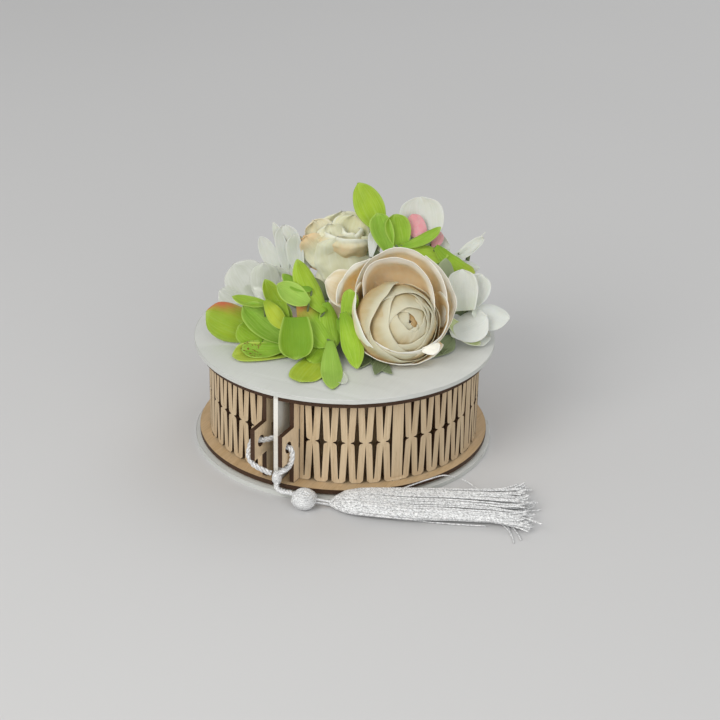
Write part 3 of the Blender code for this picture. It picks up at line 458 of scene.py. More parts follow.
TASSEL_AXIS = Vector((cos(TASSEL_DIRECTION), sin(TASSEL_DIRECTION), 0))
TASSEL_SIDE = Vector((-TASSEL_AXIS.y, TASSEL_AXIS.x, 0))
TIE_BODY = "right_tray"
CORD_STEP = 0.0004
CORD_PLIES = 3
CORD_SIDES = 8
# Turn of a thin thread's plies from one point of its line to the next
THREAD_TWIST = 1.55


def route_length(points):
    """Length of a line of points."""
    return sum((Vector(b) - Vector(a)).length for a, b in zip(points, points[1:]))


def smooth_route(points, count):
    """Evenly spaced points of a smooth curve through a route."""
    rows = [Vector(point) for point in points]
    rows = [2 * rows[0] - rows[1]] + rows + [2 * rows[-1] - rows[-2]]
    fine = []
    for index in range(1, len(rows) - 2):
        before, start, end, after = rows[index - 1:index + 3]
        for step in range(12):
            share = step / 12
            bend = 2 * before - 5 * start + 4 * end - after
            twist = 3 * start - before - 3 * end + after
            fine.append((2 * start + (end - before) * share + bend * share ** 2 + twist * share ** 3) / 2)
    fine.append(rows[-2])
    lengths = [(second - first).length for first, second in zip(fine, fine[1:])]
    even, place, index = [], 0, 0
    for step in range(count + 1):
        target = sum(lengths) * step / count
        while index < len(lengths) - 1 and place + lengths[index] < target:
            place += lengths[index]
            index += 1
        share = (target - place) / lengths[index]
        even.append(fine[index].lerp(fine[index + 1], min(share, 1)))
    return even


def frames(points):
    """Two vectors across a path at each point, without twist."""
    last = len(points) - 1
    tangents = [(points[min(index + 1, last)] - points[max(index - 1, 0)]).normalized()
                for index in range(len(points))]
    across = tangents[0].orthogonal().normalized()
    rows = []
    for tangent in tangents:
        across = (across - tangent * across.dot(tangent)).normalized()
        rows.append((across, tangent.cross(across)))
    return rows


def beside(point, size, turn, across, up):
    """Point at a distance and a turn from another one."""
    return point + size * (cos(turn) * across + sin(turn) * up)


def circle(point, size, axes, sides):
    """Points round a point."""
    return [beside(point, size, 2 * pi * side / sides, *axes) for side in range(sides)]


def skin(work, rings):
    """Join rings of vertices to a closed tube."""
    sides = len(rings[0])
    for first, second in zip(rings, rings[1:]):
        for side in range(sides):
            after = (side + 1) % sides
            work.faces.new((first[side], first[after], second[after], second[side]))
    work.faces.new(rings[0][::-1])
    work.faces.new(rings[-1])


def tube(work, points, radius, sides):
    """Add a closed tube along points to a bmesh."""
    skin(work, [[work.verts.new(place) for place in circle(point, radius, axes, sides)]
                for point, axes in zip(points, frames(points))])


def laid(points, offset, turn_at):
    """Ply that runs round a line of points, with a turn for each point's number."""
    return [beside(point, offset, turn_at(index), *axes)
            for index, (point, axes) in enumerate(zip(points, frames(points)))]


def plied_thread(work, line, radius, start):
    """Thin thread of two plies laid round each other."""
    for ply in (0, pi):
        strand = laid(line, 0.46 * radius, lambda index: start + ply + THREAD_TWIST * index)
        tube(work, strand, 0.6 * radius, 4)


def smooth_piece(name, work, material, body, slot, *nodes):
    """Smooth piece from a bmesh, on a body and in the place of CAD nodes."""
    mesh = bpy.data.meshes.new(name)
    work.to_mesh(mesh)
    work.free()
    mesh.shade_smooth()
    piece = link_mesh(name, mesh, material, body)
    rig.slot(piece, slot)
    for node in nodes:
        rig.replaces(piece, node)
    return piece


def twisted(name, route, radius, pitch, thin_from=None):
    """Cord of plies along a smooth route, and from a length on two thin strings."""
    points = smooth_route(route, ceil(route_length(route) / CORD_STEP))
    ply = radius * 0.464
    thick = ceil(thin_from / CORD_STEP) if thin_from else len(points)
    work = bmesh.new()
    for strand in range(CORD_PLIES):
        line = laid(points, radius - ply,
                    lambda index: 2 * pi * (strand / CORD_PLIES + index * CORD_STEP / pitch))
        tube(work, line[:thick], ply * 1.08, CORD_SIDES)
    if thin_from:
        for side in (-1, 1):
            thin = [point + Vector((0, -0.0003, 0.0012)) * side for point in points[thick - 4:]]
            plied_thread(work, thin, 0.001, side)
    return smooth_piece(name, work, SILVER, TIE_BODY, "cord"), points


def scaled(vector, factors):
    """A vector with each of its parts multiplied."""
    return Vector([part * factor for part, factor in zip(vector, factors)])


def ball_of_cord(name, centre, radius, strand, turns, node, seed, squeeze):
    """Ball-shaped knot: rounds of cord over and under each other in three directions."""
    work = bmesh.new()
    chance = Random(seed)
    count = 40
    for axis in range(3):
        for index in range(turns):
            tilt = 0.86 * ((index + 0.5) / turns * 2 - 1)
            ring_radius = sqrt(max(1 - tilt ** 2, 0.05))
            wobble = chance.uniform(0, 2 * pi)
            line = []
            for step in range(count + 1):
                turn = 2 * pi * step / count
                lift = 1 + 0.055 * sin(2 * turn + axis * pi / 2 + wobble * 0.15)
                point = Vector()
                point[axis] = tilt + 0.03 * sin(3 * turn + wobble)
                point[(axis + 1) % 3] = ring_radius * cos(turn)
                point[(axis + 2) % 3] = ring_radius * sin(turn)
                line.append(centre + scaled(point.normalized() * (radius - strand) * lift, squeeze))
            tube(work, line, strand, 6)
    core = bmesh.ops.create_icosphere(work, subdivisions=3, radius=(radius - 1.6 * strand))
    for vert in core["verts"]:
        vert.co = centre + scaled(vert.co, squeeze)
    return smooth_piece(name, work, SILVER, TIE_BODY, "cord", node)


HEAD_START = 0.0152
TASSEL_LENGTH = 0.1207
HEAD_SHARE = 0.145
HEAD_THREADS = 40
FRINGE_THREADS = 112
FRINGE_POINTS = 165
# Share of the length; half width, half height, shift to the front and height over the table, in mm
TASSEL_SHAPE = (
    (0, 0.9, 0.9, 0, 2.4), (0.015, 2.4, 2, 0.2, 1.7), (0.035, 5.1, 3.4, 0.6, 0.9),
    (0.08, 9.2, 5.2, 1.8, 0.3), (0.145, 11.8, 5.9, 2.6, 0.3), (0.2, 13.1, 6, 3, 0.3),
    (0.4, 16.6, 5.2, 2.9, 0.3), (0.6, 17.2, 4.6, 1.6, 0.3), (0.8, 18.6, 4, 1.5, 0.3),
    (1, 24, 3.5, 3.2, 0.3),
)
# Stray threads through pixels of the photograph, each at a height over the table in mm
STRAYS = (
    ((404, 488, 9), (412, 485, 8.6), (428, 479.5, 9), (443, 475.5, 9), (455, 477, 5)),
    ((462, 479, 4), (472, 485, 1.2), (481, 491, 0.8), (493, 494, 5)),
    ((440, 491, 8), (470, 489.5, 6), (498, 492, 5)),
    ((494, 492, 5), (505, 494, 4), (518, 489, 4), (528, 487.5, 2)),
    ((500, 520, 1.2), (508, 527, 0.8), (511, 536, 0.6)),
    ((506, 522, 1.2), (516, 531, 0.8), (521, 540, 0.6)),
    ((498, 521, 1), (510, 532, 0.6), (514, 543, 0.6)),
    ((512, 512, 3), (528, 511, 2), (541, 510, 1)),
    ((390, 516, 1), (420, 521, 0.8), (452, 524, 0.8), (486, 526, 0.8)),
)


def on_tassel(share, angle, depth):
    """Point on the tassel at a share of its length, an angle round it and a depth in it."""
    for first, second in zip(TASSEL_SHAPE, TASSEL_SHAPE[1:]):
        if share <= second[0]:
            break
    part = min((share - first[0]) / (second[0] - first[0]), 1.5)
    half_width, half_height, shift, high = [(one + (two - one) * part) / 1000
                                            for one, two in zip(first[1:], second[1:])]
    place = BEAD_CENTRE + TASSEL_AXIS * (HEAD_START + TASSEL_LENGTH * share)
    place += TASSEL_SIDE * (half_width * cos(angle) * depth - shift)
    place.z = max(half_height * (1 + sin(angle) * depth), 0.0004) + high
    return place


def make_tassel():
    """Long fringe of threads that lie on the table, with a few strays."""
    chance = Random(7)
    work = bmesh.new()
    for index in range(FRINGE_THREADS):
        angle = 2 * pi * (index * 0.618 + 0.1 * chance.random())
        depth = chance.uniform(0.9, 1) if index % 6 else sqrt(chance.random())
        first = 0.02 + 0.04 * chance.random()
        last = chance.uniform(0.94, 1) if index % 4 else chance.uniform(0.86, 1.04)
        swing = chance.gauss(0, 0.04)
        curl = chance.uniform(0, 2 * pi)
        line = []
        for step in range(FRINGE_POINTS + 1):
            share = first + (last - first) * step / FRINGE_POINTS
            loose = max(share - 0.82, 0) / 0.18
            sway = swing * share ** 2 + 0.03 * sin(curl + 9 * share) * share + 0.35 * swing * loose ** 2
            place = on_tassel(share, angle + sway, depth)
            place += TASSEL_SIDE * (0.0056 * loose ** 2 * sin(curl * 3 + 2.5 * loose))
            place.z += 0.0034 * loose ** 2 * max(sin(curl * 5), 0)
            line.append(place)
        plied_thread(work, line, chance.uniform(0.00064, 0.00078), curl)
    for number, points in enumerate(STRAYS):
        route = [spot(across, down, high - 70) for across, down, high in points]
        plied_thread(work, smooth_route(route, ceil(route_length(route) / 0.0007)), 0.00052, number)
    return smooth_piece("tassel_threads", work, SILK, TIE_BODY, "cord", "tassel_fringe")


def make_head():
    """Head of the tassel: slanting threads over a plain core."""
    work = bmesh.new()
    for index in range(HEAD_THREADS):
        angle = 2 * pi * index / HEAD_THREADS
        slant = 0.35 if index % 2 else -0.35
        line = [on_tassel(HEAD_SHARE * step / 26, angle + slant * step / 26, 1) for step in range(27)]
        plied_thread(work, line, 0.00066, index)
    shares = [0.002 + HEAD_SHARE * step / 12 for step in range(13)]
    skin(work, [[work.verts.new(on_tassel(share, 2 * pi * side / 20, 0.93)) for side in range(20)]
                for share in shares])
    return smooth_piece("tassel_head_threads", work, SILK, TIE_BODY, "cord", "tassel_head")


tie, tie_line = twisted("twisted_tie", TIE_ROUTE, 0.0017, 0.0095)
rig.replaces(tie, "tie_cord")
neck_route = [BEAD_CENTRE + TASSEL_AXIS * (0.0038 * index) - UP * (0.0006 * index)
              for index in range(5)]
neck_route += [neck_route[4] + TASSEL_AXIS * (0.01 * index) for index in range(1, 13)]
hanger, hanger_line = twisted("twisted_hanger", HANGER_ROUTE + neck_route, 0.0016, 0.007, 0.025)
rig.replaces(hanger, "hanger_cord", "tassel_neck")
knot = ball_of_cord("wound_knot", KNOT_CENTRE - UP * 0.001, 0.0038, 0.0011, 3, "tie_knot", 3,
                    (0.8, 0.8, 1.3))
bead = ball_of_cord("wound_bead", BEAD_CENTRE, 0.0078, 0.00075, 8, "bead_knot", 5, (1, 1, 0.76))
head = make_head()
threads = make_tassel()
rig.cord(tie, exit=tie_line[0], length=route_length(tie_line), diameter=0.0032, far_end="knot",
        stiffness="limp", lay="hanging", path=tie_line, with_pieces=[knot])
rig.cord(hanger, exit=hanger_line[0], length=route_length(hanger_line), diameter=0.0024, far_end="bare",
        stiffness="limp", lay="loose", path=hanger_line, with_pieces=[bead, head, threads])


# Flowers: every petal is a thin closed sheet

MARKS = ("along", "across", "tint", "wash", "blush", "freckle", "seed")
SHEET = 0.0005
CUP_CURL = 0.0022
CUP_ROLL = 0.0024
ROD_SIDES = 7
# Outlines of petals: where they are widest, how full above that, how blunt the tip and the root are
ROUND = (0.58, 2.2, 0.42, 0.34)
OVAL = (0.52, 1.9, 0.6, 0.3)
POINTED = (0.45, 1.5, 1, 0.26)
FAN = (0.8, 3, 0.4, 0.3)
BROAD = (0.55, 2.4, 0.4, 0.72)

# Stems as points and two radii, and hubs with the stem's base: gathered by the blooms
STEMS = []
HUBS = []


def sight(anchor, across, down, nearer=0):
    """Point on a pixel's line of sight, some mm nearer the eye than an anchor."""
    return EYE + sight_line(across, down) * ((anchor - EYE).dot(FORWARD) - nearer / 1000)


def held(anchor, across, down, nearer=0):
    """The same point, or where the line of sight meets the lid if that is higher."""
    place = sight(anchor, across, down, nearer)
    return place if place.z > LID_TOP + 0.0012 else spot(across, down, 1.3)


def seen(right, up, near=0.95):
    """Unit vector from its shares to the right, up and towards the eye."""
    return (RIGHT * right + UPWARD * up - FORWARD * near).normalized()


def rise(value, span):
    """Share from 0 to 1 of a value over a span."""
    return min(max(value, 0) / span, 1)


def silk(name, slot, body, yellow, cool, pale, deep, tip, roughness=0.75, soft=0.1, **sockets):
    """Fabric petal: veins, a paler rim, a deeper throat and a coloured tip or root."""
    look = Shader(name, roughness, Subsurface_Weight=soft, **sockets)
    along, across, tint, wash, blush, freckle, seed = [look.attribute(mark) for mark in MARKS]
    scales = enumerate(((across, 9), (along, 1.6), (seed, 7.3)))
    place = look.node("CombineXYZ", "Vector", {axis: look.maths("MULTIPLY", *pair) for axis, pair in scales})
    vein = look.noise(place, 4, 0.62)
    weave = look.noise(2600, 1)
    ragged = look.ramp(look.noise(320, 3, 0.6), 0.25, 0.75, 0.65, 1.2)
    freckles = look.ramp(look.noise(620, 2), 0.56, 0.62)
    sides = look.ramp(look.maths("ABSOLUTE", across), 0.8, 1)
    rim = look.maths("MAXIMUM", sides, look.ramp(along, 0.9, 1))
    look.base = look.mix(look.ramp(tint, 0, 0.5), yellow, body)
    look.over(cool, tint, 0.5, 1)
    look.over(deep, look.noise(120, 3, 0.55), 0.3, 0.72, 0, 0.32)
    look.over(pale, vein, 0.42, 0.72, 0, 0.4)
    look.over(deep, along, 0, 0.34, 0.55, 0)
    look.over(pale, wash, 0, 1, 0, 0.85)
    look.over(deep, wash, -1, 0, 0.8, 0)
    look.over(pale, look.maths("MULTIPLY", rim, 0.5))
    look.over(tip, look.maths("MULTIPLY", blush, ragged))
    look.over((0.2, 0.04, 0.012), look.maths("MULTIPLY", freckles, freckle))
    return look.done(look.maths("ADD", vein, look.maths("MULTIPLY", weave, 0.25)), 0.0005, 0.55), slot


# Name and slot; body, yellower, cooler, pale, deep and tip colours
LIME = silk("lime_silk", "green_petal", (0.29, 0.47, 0.012), (0.42, 0.49, 0.018), (0.22, 0.44, 0.05),
    (0.46, 0.62, 0.13), (0.11, 0.26, 0.003), (0.55, 0.12, 0.05), soft=0.06)
CREAM = silk("cream_silk", "cream_petal", (0.84, 0.77, 0.58), (0.84, 0.72, 0.5), (0.84, 0.8, 0.64),
    (0.93, 0.92, 0.86), (0.84, 0.7, 0.44), (0.93, 0.62, 0.25))
# Darker copy of the cream silk for the peony's heart: painted shade deep inside the bloom.
SHADED_HEART_CREAM = silk("heart_cream_silk_painted_shade", "cream_petal", (0.51, 0.43, 0.235), (0.53, 0.41, 0.2),
    (0.54, 0.47, 0.285), (0.65, 0.61, 0.45), (0.56, 0.43, 0.22), (0.58, 0.35, 0.13))
IVORY = silk("ivory_silk", "ivory_petal", (0.73, 0.72, 0.52), (0.66, 0.62, 0.33), (0.72, 0.74, 0.62),
    (0.83, 0.84, 0.74), (0.6, 0.55, 0.28), (0.8, 0.52, 0.25))
WHITE_SILK = silk("white_silk", "white_petal", (0.62, 0.63, 0.58), (0.44, 0.52, 0.15), (0.59, 0.605, 0.58),
    (0.73, 0.74, 0.71), (0.48, 0.54, 0.34), (0.8, 0.32, 0.36))
SHEER = silk("sheer_silk", "clear_petal", (0.74, 0.77, 0.68), (0.72, 0.74, 0.54), (0.74, 0.78, 0.74),
    (0.92, 0.93, 0.9), (0.6, 0.64, 0.52), (0.76, 0.66, 0.58),
    roughness=0.2, soft=0, Alpha=0.46, Coat_Weight=0.6)
LEAF = silk("leaf_silk", "leaf", (0.17, 0.22, 0.1), (0.26, 0.3, 0.14), (0.14, 0.19, 0.12),
    (0.36, 0.42, 0.26), (0.06, 0.09, 0.035), (0.3, 0.2, 0.1), soft=0)


class Bloom:
    """Petals of one flower, with marks that its material reads."""

    def __init__(self, name, cloth, anchor, back=9, crumple=0.4):
        self.name = name
        self.crumple = crumple / 1000
        self.material, self.slot = cloth
        self.anchor = spot(*anchor)
        self.work = bmesh.new()
        self.layers = [self.work.verts.layers.float.new(mark) for mark in MARKS]
        self.chance = Random(name)
        self.hub = self.anchor + FORWARD * (back / 1000)
        self.hub.z = max(self.hub.z - 0.002, LID_TOP + 0.006)
        self.count = 0

    def mark(self, vert, *marks):
        """Set a vertex's marks, in the order of MARKS."""
        for layer, value in zip(self.layers, marks):
            vert[layer] = value

    def begin(self):
        """Count a new sheet and draw its seed."""
        self.count += 1
        return self.chance.uniform(0, 6.28)

    def sheet(self, tall, wide, place, marks):
        """Add a closed sheet from points at shares along and across it."""
        shares = [[(i / (tall - 1), 2 * j / (wide - 1) - 1) for j in range(wide)] for i in range(tall)]
        rows = [[place(*pair) for pair in row] for row in shares]
        front, back = [[[] for _ in rows] for _ in range(2)]
        lowest = LID_TOP + 0.0008 + 0.00015 * (self.count % 6)
        for i in range(tall):
            for j in range(wide):
                point = rows[i][j]
                up = rows[min(i + 1, tall - 1)][j] - rows[max(i - 1, 0)][j]
                side = rows[i][min(j + 1, wide - 1)] - rows[i][max(j - 1, 0)]
                normal = side.cross(up)
                normal = normal.normalized() if normal.length > 0 else UP
                bend = normal * (self.crumple * 1.6 * noise.noise(point * 130 + Vector((self.count, 0, 0))))
                bend += normal * (self.crumple * 0.8 * noise.noise(point * 310))
                middle = point + bend
                if middle.z < lowest:
                    middle.z = lowest
                    normal = UP if normal.z > 0 else -UP
                for grid, sign in ((front, 0.5), (back, -0.5)):
                    vert = self.work.verts.new(middle + normal * (sign * SHEET))
                    self.mark(vert, *marks(*shares[i][j], sign), self.count * 1.37)
                    grid[i].append(vert)
        face = self.work.faces.new
        for i in range(tall - 1):
            for j in range(wide - 1):
                face((front[i][j], front[i][j + 1], front[i + 1][j + 1], front[i + 1][j]))
                face((back[i + 1][j], back[i + 1][j + 1], back[i][j + 1], back[i][j]))
            face((front[i][0], front[i + 1][0], back[i + 1][0], back[i][0]))
            face((front[i + 1][-1], front[i][-1], back[i][-1], back[i + 1][-1]))
        for j in range(wide - 1):
            face((front[0][j + 1], front[0][j], back[0][j], back[0][j + 1]))
            face((front[-1][j], front[-1][j + 1], back[-1][j + 1], back[-1][j]))

    def petal(self, root, tip, half, facing, curl, form=OVAL, tint=0.5, wash=0, blush=0, ruffle=0.06,
              freckle=0, edge=0, arch=0.1, stalk=True):
        """A petal from root to tip, half as wide as given in mm and curled across and along."""
        start, end = [point if isinstance(point, Vector) else held(self.anchor, *point)
                      for point in (root, tip)]
        facing = facing if isinstance(facing, Vector) else seen(*facing)
        axis = end - start
        length = axis.length
        axis.normalize()
        facing = (facing - axis * facing.dot(axis)).normalized()
        side = facing.cross(axis)
        peak, fullness, tip_power, blunt = form
        bow = max(abs(curl), 0.02)
        seed = self.begin()

        def place(v, u):
            if v < peak:
                width = blunt + (1 - blunt) * sin(pi / 2 * v / peak)
            else:
                width = max(1 - ((v - peak) / (1 - peak)) ** fullness, 0) ** tip_power
            width = max(width, 0.05) * half / 1000
            middle = start + axis * (length * v) - facing * (arch * length * 4 * v * (1 - v))
            flat = sin(bow * u) / bow
            lift = (1 - cos(bow * u)) / bow * (1 if curl > 0 else -1)
            wave = u ** 2 * v * sin(5.2 * v + 2.6 * u + seed) + 0.5 * v ** 3 * sin(6.5 * u + seed)
            crease = -0.05 * max(1 - abs(u) * 3, 0) * sin(pi * v)
            lift = width * lift + (ruffle * wave + crease) * half / 1000
            return middle + side * (width * flat) + facing * lift

        def marks(v, u, sign):
            if edge:
                flush = blush * min(max(edge * u - 0.15, 0) * 1.6, 1) * min(max(v - 0.35, 0) * 2.2, 1)
            elif abs(blush) >= 2:
                flush = 1
            else:
                flush = blush * rise(v - 0.62, 0.38) if blush > 0 else -blush * rise(0.38 - v, 0.38)
            return v, u, tint, wash, min(flush, 1), freckle * min(max(v - 0.45, 0) * 4, 1)

        self.sheet(13, 11, place, marks)
        if stalk and (start - self.hub).length > 0.002:
            middle = start.lerp(self.hub, 0.5) + FORWARD * 0.002
            middle.z = max(middle.z, LID_TOP + 0.0015)
            STEMS.append(([start, middle, self.hub], 0.0007, 0.0011))

    def rod(self, points, first, last):
        """Closed tapered rod through points."""
        line = smooth_route(points, 8)
        rings = []
        for index, (point, axes) in enumerate(zip(line, frames(line))):
            size = first + (last - first) * index / 8
            rings.append([self.work.verts.new(place) for place in circle(point, size, axes, ROD_SIDES)])
            for turn, vert in enumerate(rings[-1]):
                self.mark(vert, 0.3, turn / ROD_SIDES, 0.2, -0.4, 0, 0, 3)
        skin(self.work, rings)

    def foot(self, lean):
        """Hub of the flower and its stem to the lid, whose base leans out by mm."""
        base = Vector((self.hub.x + lean[0] / 1000, self.hub.y + lean[1] / 1000, LID_TOP + 0.0002))
        middle = self.hub.lerp(base, 0.5) + Vector((lean[1] / 4000, -lean[0] / 4000, 0))
        STEMS.append(([self.hub, middle, base], 0.0016, 0.0014))
        HUBS.append((self.hub, base))

    def shell(self, centre, axis, turn, half, lip, ends, base, rim_reach, base_reach, flare=0.6, tint=0.5,
              wash=0, throat=0.8, folds=0.35, tip_all_over=0, spread=(1, 1, 1)):
        """A cupped petal round a ball: lip and base are angles from its axis, in degrees."""
        first = (RIGHT - axis * RIGHT.dot(axis)).normalized()
        second = axis.cross(first)
        seed = self.begin()

        def place(t, s):
            angle = radians(turn - half * s)
            edge = lip + (ends - lip) * abs(s) ** 2.6
            edge += 1.1 * sin(4.3 * s + seed) + 0.7 * sin(9.1 * s + 2 * seed)
            polar = radians(base + (edge - base) * t)
            reach = base_reach + (rim_reach - base_reach) * t - 0.9 * abs(s) ** 4
            reach += flare * rise(t - 0.82, 0.18)
            reach += folds * sin(5 * s + seed) * sin(pi * t) * t
            reach += folds * 0.5 * sin(11 * s + 3 * seed) * t * (1 - t)
            out = cos(polar) * axis + sin(polar) * (cos(angle) * first + sin(angle) * second)
            return centre + scaled(out, spread) * (reach / 1000)

        def marks(v, u, sign):
            outer = 0.6 * rise(0.9 - v, 0.36) + 0.1 * max(abs(u) - 0.5, 0) * 2
            blush = throat * rise(0.95 - v, 0.16) if sign > 0 else outer
            pale = 0.75 * rise(v - 0.78, 0.16)
            return 0.5 + 0.5 * v, u * 0.8, tint, pale + wash, min(blush + tip_all_over, 1), 0

        self.sheet(17, 25, place, marks)

    def bowl(self, root, tint, wash, throat, *rim):
        """A cupped petal from its root to a rim through pixels, each some mm towards the eye."""
        start = sight(self.anchor, *root)
        edge = smooth_route([sight(self.anchor, *point) for point in rim], 28)
        seed = self.begin()

        def place(t, s):
            reach = edge[round(14 * (s + 1))] - start
            near = reach.dot(-FORWARD)
            flat = reach + FORWARD * near
            roll = rise(t - 0.8, 0.2)
            wave = 0.0005 * sin(7 * s + seed) * t * (1 - t) * 4
            point = start + flat * sin(pi / 2 * min(t / 0.92, 1)) ** 0.55 - FORWARD * (near * t ** 1.9)
            point += flat.normalized() * (wave + CUP_CURL * sin(1.5 * roll))
            return point + FORWARD * (CUP_ROLL * (1 - cos(1.9 * roll)))

        def marks(v, u, sign):
            blush = throat * rise(0.84 - v, 0.2) if sign > 0 else 0.06
            return 0.5 + 0.5 * v, u * 0.8, tint, rise(v - 0.78, 0.06) + wash, blush, 0

        self.sheet(17, 29, place, marks)

    def finish(self, name, *nodes):
        """Turn the sheets into one piece in the place of CAD nodes."""
        bmesh.ops.recalc_face_normals(self.work, faces=self.work.faces)
        piece = smooth_piece(name, self.work, self.material, "frame", self.slot, *nodes)
        smooth = piece.modifiers.new("smooth", "SUBSURF")
        smooth.levels = smooth.render_levels = 1


def flower(name, cloth, anchor, rows, node, back=9, lean=(0, 0)):
    """A flower of separate petals, each a row for Bloom.petal."""
    bloom = Bloom(name, cloth, anchor, back)
    for row in rows:
        bloom.petal(*row)
    bloom.foot(lean)
    bloom.finish(name, *([node] if node else []))


# Rows: root, tip (pixels, mm nearer), half width in mm, facing, curl, outline, tint, wash, blush, ruffle,
# freckle, edge

flower("green_petals_left", LIME, (264, 330, 13), (
    ((259, 332, -3), (206, 311, -4), 14.6, (-0.1, 0.2, 1), -0.95, ROUND, 0.2, -0.5, 1.1, 0.06, 0, -1),
    ((268, 304, -1), (232, 296, -3), 8.5, (0, 0.9, 0.42), 0.35),
    ((287, 318, 2), (264.5, 279), 6.6, (0.3, 0.3, 0.9), 0.6, OVAL, 0.3, -0.2),
    ((265, 300, 5), (285, 329, 8), 5.6, (-0.2, 0.4, 0.9), -0.6, OVAL, 0),
    ((290, 343, 2), (243, 305, -1), 10.5, (-0.1, 0.5, 0.85), 0.7, ROUND, 0.8),
    ((262, 342), (238, 326), 8, (-0.2, 0.4, 0.9), -0.5, ROUND, 0.4, -0.4),
    ((288, 346, 4), (241, 349, 6), 8.5, (0, 0.7, 0.7), 0.5, ROUND, 0.7, 0, 0, 0.06, 0.9),
    ((290, 353, 3), (232, 356, 3), 10.5, (0, 0.55, 0.85), 0.7, ROUND, 0, 0.2),
), "green_bloom_left", 10, (4, 6))

flower("green_petals_middle", LIME, (302, 334, 13), (
    ((296, 317, 5), (296, 360, 10), 11.6, (0, 0.3), 0.7, BROAD, 0.3, -0.9),
    ((301, 300, 2), (330, 347, 6), 10.5, (0.15, 0.2), -0.6, ROUND, 0.65, 0, -1),
    ((309, 303, 5), (277, 284, 4), 8.2, (-0.2, 0.6, 0.75), 0.4, OVAL, 0.9, 0.35),
    ((312, 290, 1), (282, 274), 5.6, (0, 0.7, 0.7), -0.4, OVAL, 0.7, -0.7),
    ((325, 312, 3), (297, 259), 8.6, (0.3, 0.3, 0.9), -0.7, OVAL, 0.4),
    ((326, 302, 1), (336, 347, 4), 7, (0.2, 0.2), -0.5, OVAL, 0.6),
    ((321, 352, 2), (300, 382, 4), 11.6, (-0.1, 0.5, 0.85), -0.5, BROAD, 0.1),
    ((330, 340, 5), (332.5, 389, 9), 7.2, (0, 0.3), -0.5, OVAL, 0.85, 0.3),
    ((325, 343, 3), (311, 363, 3), 7.5, (0, 0.5, 0.9), -0.4, ROUND),
    ((312, 345, -8), (322, 312, -8), 10, (0.1, 0.3), 0.4, ROUND, 0.6, -0.6),
    ((288, 330, -6), (272, 300, -6), 8, (-0.2, 0.3), 0.4, OVAL, 0.4, -0.4),
), "green_bloom_middle", 10, (4, 4))

flower("green_petals_right", LIME, (349, 330, 18), (
    ((344, 327, 4), (350.5, 289, 7), 6.2, (-0.3, 0.1), -0.5, ROUND, 0.6),
    ((343, 312, 10), (357.5, 369, 10), 7.6, (-0.2, 0.2), -0.7),
    ((338, 318, -3), (350, 352, -3), 5, (-0.4, 0.2, 0.9), -0.4, OVAL, 0.7),
), "green_bloom_right", 10, (4, 4))

flower("green_petals_top", LIME, (386, 234, 51), (
    ((381, 231), (358, 182.5), 10.2, (-0.1, 0.1, 1), -0.45, OVAL, 0.4),
    ((389, 252, 4), (377, 213, 4), 8.2, (0.1, 0.1, 1), 0.6, ROUND, 0.8),
    ((402, 249, 2), (395, 214, 2), 9.2, (0.2, 0.3, 0.9), 0.5, ROUND, 0.6, -0.2),
    ((398, 247, 6), (441, 227, 4), 4.6, (0, 0.6, 0.8), -0.5, ROUND, 0.7, -0.1),
), "green_sprig_top", 10)

flower("green_petals_far_right", LIME, (432, 256, 41), (
    ((400, 245), (449, 256), 8, (0.1, 0.5, 0.85), -0.4, OVAL, 0.4, 0.1),
    ((436, 246, 2), (475, 274, 2), 7.6, (0.3, 0.4, 0.85), -0.7, ROUND, 0.5, 0, 0.2),
    ((450, 280, -2), (437, 260, -2), 6.4, (0.1, 0.5, 0.85), -0.4, OVAL, 0.8, 0.2),
), "green_sprig_right", 10)

flower("white_petals_orchid", WHITE_SILK, (421, 226, 54), (
    ((424, 248), (420, 196.5, -2), 15.6, (-0.05, 0.15, 1), 0.5, ROUND, 0.5, 0, 0, 0.03),
    ((424, 242, 3), (412, 214, 3), 6.6, (0, 0.3), -0.4, ROUND, 0.5, 0.2, 2),
    ((433, 248, 3), (441, 232, 1), 3.8, (0, 0.3), -0.4, ROUND, 0.5, 0, 2),
    ((428, 250, -2), (450, 246, -2), 8.5, (0.3, 0.3, 0.9), 0.4, ROUND),
), "white_orchid")

flower("feather_sprays", WHITE_SILK, (470, 246, 42), (
    ((452, 259), (484, 238), 4.6, (0, 0.5, 0.85), 0.4, OVAL, 0.5, 0.3, 0, 0.3),
    ((458, 254, -1), (486, 232, -1), 1, (0, 0.5, 0.85), 0.2, POINTED, 0.5, 0.3),
    ((456, 262, 1), (480, 268, 1), 5.5, (0.3, 0.5, 0.85), -0.4, OVAL, 0.5, 0.3),
), "feather_petals", 6, (-6, 0))

flower("white_petals_right", WHITE_SILK, (470, 306, 23), (
    ((464, 311, 2), (462, 269, 2), 10.4, (-0.2, 0.2), 0.6, BROAD, 0.5, 0.3),
    ((469, 308, -2), (482, 274, -1), 9.6, (0.2, 0.2), 0.5, ROUND, 0.5, 0.3),
    ((449, 331, 5), (488, 317, 6), 11.8, (0, 0.5, 0.85), -0.5, ROUND, 0.8, 0.7),
    ((472, 309, 1), (510, 318), 10.4, (0.1, 0.5, 0.85), -0.45, OVAL, 0.8, 0.5),
    ((444, 316, 4), (481, 345, 4), 6, (-0.3, 0.7, 0.6), 0.5, OVAL, 0),
    ((466, 328), (491, 338), 8, (0.2, 0.6, 0.8), -0.4, ROUND),
), "white_bloom_right", 9, (-6, 0))

